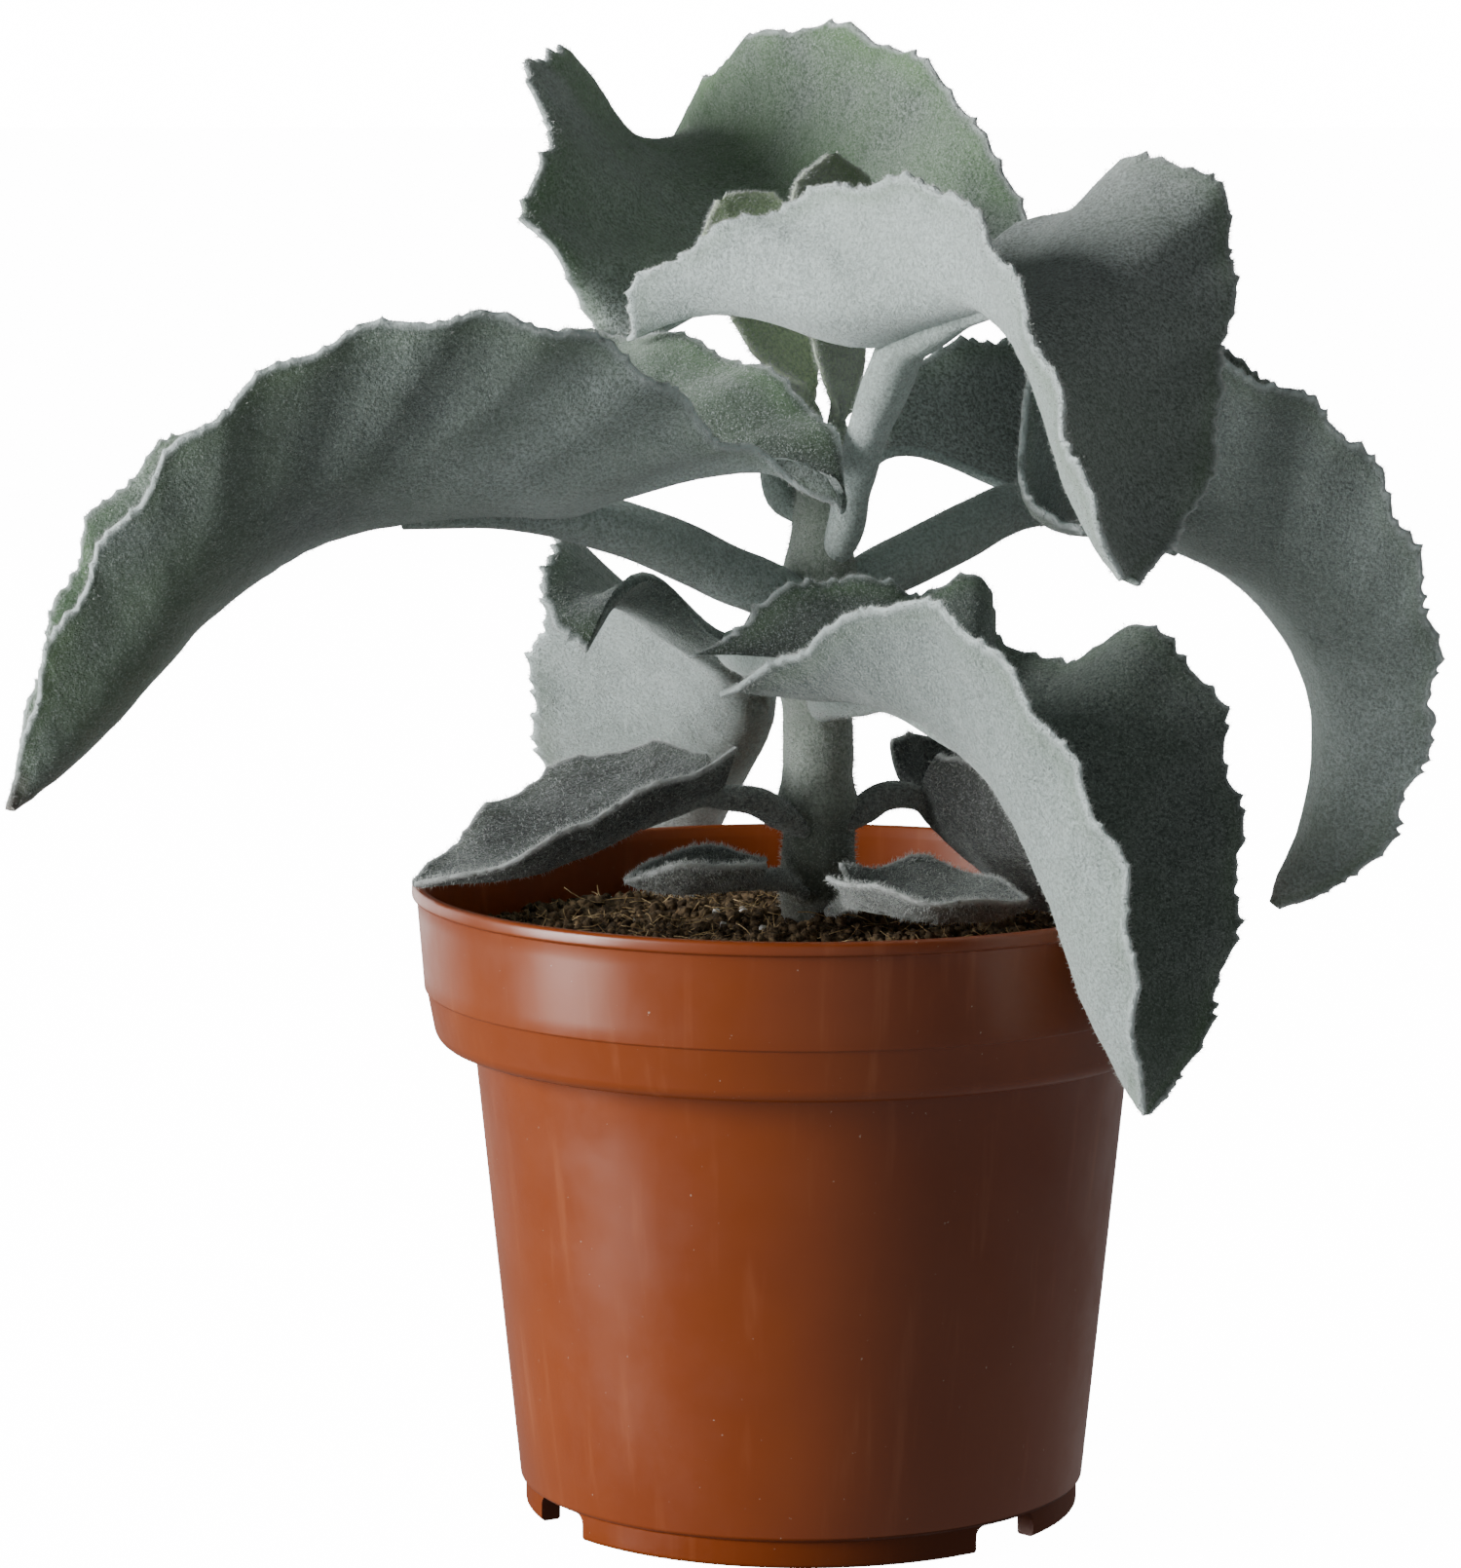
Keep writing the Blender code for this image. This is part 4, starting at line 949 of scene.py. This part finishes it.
def build_pot():
    """The pot, turned from its rounded section, with its foot gaps and drain holes cut."""
    work = bmesh.new()
    verts = []
    for radius, height, _ in pot_profile():
        verts.append(work.verts.new((radius, 0.0, height)))
    for first, second in zip(verts, verts[1:]):
        work.edges.new((first, second))
    for vert, (_, _, rounding) in zip(verts, pot_profile()):
        if rounding:
            bmesh.ops.bevel(work, geom=[vert], offset=rounding, offset_type="OFFSET",
                            affect="VERTICES", segments=4, profile=0.5, material=-1)
    long_edges = [edge for edge in work.edges if edge.calc_length() > 12.0]
    bmesh.ops.subdivide_edges(work, edges=long_edges, cuts=5)
    bmesh.ops.spin(work, geom=work.verts[:] + work.edges[:], cent=(0.0, 0.0, 0.0),
                   axis=(0.0, 0.0, 1.0), angle=2.0 * math.pi, steps=POT_STEPS, use_merge=True)
    bmesh.ops.remove_doubles(work, verts=work.verts, dist=0.001)
    bmesh.ops.recalc_face_normals(work, faces=work.faces)
    made = add_piece("pot_skin", mesh_in_place(work, "pot"), PLASTIC, ("pot",))
    cutters = bmesh.new()
    for angle in FOOT_GAPS_DEG:
        turn = Matrix.Rotation(math.radians(angle), 4, "Z")
        block = bmesh.ops.create_cube(cutters, size=1.0)["verts"]
        size = Matrix.Diagonal((14.0, FOOT_GAP_WIDTH, 2 * FOOT_HEIGHT - 1.0, 1.0))
        place = Matrix.Translation((FOOT_RADIUS - 2.0, 0.0, 0.0))
        bmesh.ops.transform(cutters, matrix=turn @ place @ size, verts=block)
    bars = [edge for edge in cutters.edges
            if min(edge.verts[0].co.z, edge.verts[1].co.z) > 1.0
            and abs(edge.verts[0].co.xy.length - edge.verts[1].co.xy.length) > 6.0]
    bmesh.ops.bevel(cutters, geom=bars, offset=1.6, affect="EDGES", segments=5, profile=0.5,
                    material=-1)
    for number in range(DRAIN_COUNT):
        angle = 2 * math.pi * (number + 0.5) / DRAIN_COUNT
        spot = (DRAIN_CIRCLE * math.cos(angle), DRAIN_CIRCLE * math.sin(angle), FOOT_HEIGHT)
        bmesh.ops.create_cone(cutters, cap_ends=True, segments=40, radius1=DRAIN_RADIUS,
                              radius2=DRAIN_RADIUS, depth=8.0, matrix=Matrix.Translation(spot))
    carve(made, mesh_in_place(cutters, "cutters"))
    made.data.set_sharp_from_angle(angle=math.radians(38.0))


# ---- peat ----

def peat_height(x, y):
    """Height of the peat's surface, in millimetres."""
    reach = np.hypot(x, y)
    crown = PEAT_EDGE_HEIGHT + (PEAT_CROWN_HEIGHT - PEAT_EDGE_HEIGHT) * np.cos(
        np.minimum(reach / 55.0, 1.0) * 1.5)
    lumps = np.sin(x / 6.1 + 1.0) * np.cos(y / 5.3) + 0.6 * np.sin(x / 3.3 - y / 4.1)
    return crown + 0.9 * lumps * np.minimum(1.0, (56.0 - reach) / 12.0)


def build_peat():
    """The peat's crumbly top on a plain body that fills the pot."""
    work = bmesh.new()
    bmesh.ops.create_grid(work, x_segments=PEAT_CELLS, y_segments=PEAT_CELLS, size=1.0)
    for vert in work.verts:
        u, v = vert.co.x, vert.co.y
        x = PEAT_EDGE_RADIUS * u * math.sqrt(1.0 - v * v / 2.0)
        y = PEAT_EDGE_RADIUS * v * math.sqrt(1.0 - u * u / 2.0)
        vert.co = (x, y, 0.0)
    border = [edge for edge in work.edges if edge.is_boundary]
    reach = PEAT_EDGE_RADIUS
    for radius, height in PEAT_SIDE:
        ring, border = grow(work, border)
        for vert in ring:
            vert.co.x *= radius / reach
            vert.co.y *= radius / reach
            vert.co.z = height
        reach = radius
    bmesh.ops.contextual_create(work, geom=border)
    bmesh.ops.recalc_face_normals(work, faces=work.faces)
    mesh = mesh_from(work, "peat")
    points = get_points(mesh)
    top = points[:, 2] == 0.0
    spots = points[top]
    height = peat_height(spots[:, 0], spots[:, 1])
    flat = np.column_stack((spots[:, :2], np.zeros(len(spots))))
    calm = np.clip((56.0 - np.hypot(spots[:, 0], spots[:, 1])) / 3.0, 0.15, 1.0)
    height += calm * (0.9 * noise_at(flat, 6.0, 2.0) + 0.8 * np.abs(noise_at(flat, 2.6, 4.0))
                      + 0.5 * noise_at(flat, 1.2, 6.0))
    points[top, 2] = height
    set_points(mesh, points)
    add_piece("peat", mesh, PEAT, ("soil",))


def scatter(name, count, shape_maker, sizes, material, seed, lift=0.3):
    """Small bits strewn on the peat, each turned and sized at random."""
    generator = np.random.default_rng(seed)
    work = bmesh.new()
    for _ in range(count):
        reach = SCATTER_RADIUS * math.sqrt(generator.uniform(0.0, 1.0))
        angle = generator.uniform(0.0, 2.0 * math.pi)
        x, y = reach * math.cos(angle), reach * math.sin(angle)
        size = generator.uniform(*sizes)
        place = Matrix.Translation((x, y, float(peat_height(x, y)) + lift * size))
        axis = Vector(generator.normal(0.0, 1.0, 3)).normalized()
        turn = Matrix.Rotation(generator.uniform(0.0, 6.28), 4, axis)
        shape_maker(work, place @ turn, size, generator)
    add_piece(name, mesh_in_place(work, name), material)


def crumb(work, matrix, size, generator):
    """A lump of peat: a small ball pushed out of round."""
    made = bmesh.ops.create_icosphere(work, subdivisions=1, radius=0.5 * size, matrix=matrix)
    for vert in made["verts"]:
        vert.co += Vector(generator.normal(0.0, 0.09 * size, 3))


def fibre(work, matrix, size, generator):
    """A bent straw: a thin three-sided tube that lies mostly along the peat."""
    first = bmesh.ops.create_circle(work, cap_ends=True, segments=3, radius=STRAW_RADIUS)["verts"]
    verts = list(first)
    edges = list({edge for vert in first for edge in vert.link_edges})
    for _ in range(STRAW_STEPS):
        ring, edges = grow(work, edges)
        bmesh.ops.translate(work, vec=(0.0, 0.0, size / STRAW_STEPS), verts=ring)
        verts += ring
    bmesh.ops.contextual_create(work, geom=edges)
    bend = generator.uniform(-0.35, 0.35)
    for vert in verts:
        vert.co.x += bend * (vert.co.z / size - 0.5)**2 * size * 1.6
    lean = Matrix.Rotation(generator.uniform(0.9, 1.75), 4, "Y")
    spin = Matrix.Rotation(generator.uniform(0.0, 6.28), 4, "Z")
    place = Matrix.Translation(matrix.to_translation())
    middle = Matrix.Translation((0.0, 0.0, -0.5 * size))
    bmesh.ops.transform(work, matrix=place @ spin @ lean @ middle, verts=verts)


build_pot()
build_peat()
scatter("peat_crumbs", 3400, crumb, (0.5, 2.2), PEAT, 5)
scatter("dry_crumbs", 700, crumb, (0.4, 1.4),
        fleck_material("dry_peat", (0.32, 0.22, 0.12), (0.15, 0.09, 0.045), 0.95), 6)
scatter("straws", 800, fibre, (2.0, 7.0),
        fleck_material("straw", (0.62, 0.46, 0.25), (0.30, 0.20, 0.09), 0.7), 7, 0.2)
scatter("perlite", 34, crumb, (0.7, 1.9),
        fleck_material("perlite", (0.9, 0.88, 0.84), (0.7, 0.68, 0.64), 0.8), 8, 0.5)
build_stem()
for leaf_number, (leaf_name, leaf_shape) in enumerate(LEAVES.items()):
    build_leaf(leaf_name, leaf_shape, leaf_number)


# ---- floor, light and camera ----

def add_floor():
    """A plain white floor that glows, so that it looks as bright as the surroundings."""
    work = bmesh.new()
    bmesh.ops.create_grid(work, x_segments=1, y_segments=1, size=8.0)
    mesh = mesh_from(work, "floor")
    made = bpy.data.objects.new("floor", mesh)
    bpy.context.scene.collection.objects.link(made)
    material = bpy.data.materials.new("pale_floor")
    material.use_nodes = True
    shader = material.node_tree.nodes["Principled BSDF"]
    shader.inputs["Base Color"].default_value = (0.9, 0.9, 0.9, 1.0)
    shader.inputs["Roughness"].default_value = 0.9
    shader.inputs["Emission Color"].default_value = (1.0, 1.0, 1.0, 1.0)
    shader.inputs["Emission Strength"].default_value = 15.0
    mesh.materials.append(material)
    made.visible_diffuse = False
    made.visible_glossy = False


def add_light(name, place, target, size, power):
    """A soft white rectangular light that faces its target."""
    lamp = bpy.data.lights.new(name, "AREA")
    lamp.shape = "RECTANGLE"
    lamp.size, lamp.size_y = size
    lamp.energy = power
    made = bpy.data.objects.new(name, lamp)
    made.location = place
    direction = Vector(target) - Vector(place)
    made.rotation_euler = direction.to_track_quat("-Z", "Y").to_euler()
    bpy.context.scene.collection.objects.link(made)
    return made


def add_world():
    """White surroundings to look at, with only a little of their light on the plant."""
    world = bpy.data.worlds.new("white_surroundings")
    bpy.context.scene.world = world
    world.use_nodes = True
    tree = world.node_tree
    tree.nodes.clear()
    backgrounds = []
    for colour, strength in (((0.95, 1.0, 1.0, 1.0), 0.09), ((1.0, 1.0, 1.0, 1.0), 16.0)):
        node = tree.nodes.new("ShaderNodeBackground")
        node.inputs["Color"].default_value = colour
        node.inputs["Strength"].default_value = strength
        backgrounds.append(node.outputs[0])
    lit, seen = backgrounds
    path = tree.nodes.new("ShaderNodeLightPath")
    choose = tree.nodes.new("ShaderNodeMixShader")
    out = tree.nodes.new("ShaderNodeOutputWorld")
    tree.links.new(path.outputs["Is Camera Ray"], choose.inputs[0])
    tree.links.new(lit, choose.inputs[1])
    tree.links.new(seen, choose.inputs[2])
    tree.links.new(choose.outputs[0], out.inputs["Surface"])


add_floor()
add_world()
add_light("key", (-1.30, -0.46, 0.28), (0.0, 0.0, 0.12), (0.6, 1.1), 50.0)
add_light("front_fill", (0.15, -1.6, 0.12), (0.0, 0.0, 0.12), (0.9, 0.9), 1.0)
add_light("back_left", (-0.9, 1.1, 0.25), (0.0, 0.0, 0.15), (1.2, 0.9), 9.0)
back = add_light("back_right", (0.9, 1.1, 0.25), (0.0, 0.0, 0.15), (1.2, 0.9), 8.0)
back.visible_glossy = False
bounce = add_light("floor_bounce", (-0.35, -0.25, 0.004), (-0.35, -0.25, 1.0), (1.3, 1.3), 1.0)
bounce.visible_camera = False

lens = bpy.data.cameras.new("camera")
lens.lens = 134.2
lens.sensor_width = 36.0
lens.clip_start = 0.05
lens.clip_end = 20.0
camera = bpy.data.objects.new("camera", lens)
camera.location = (-0.0028, -0.9059, 0.236)
camera.rotation_euler = (math.radians(90.0 - 7.93), 0.0, 0.0)
bpy.context.scene.collection.objects.link(camera)
bpy.context.scene.camera = camera
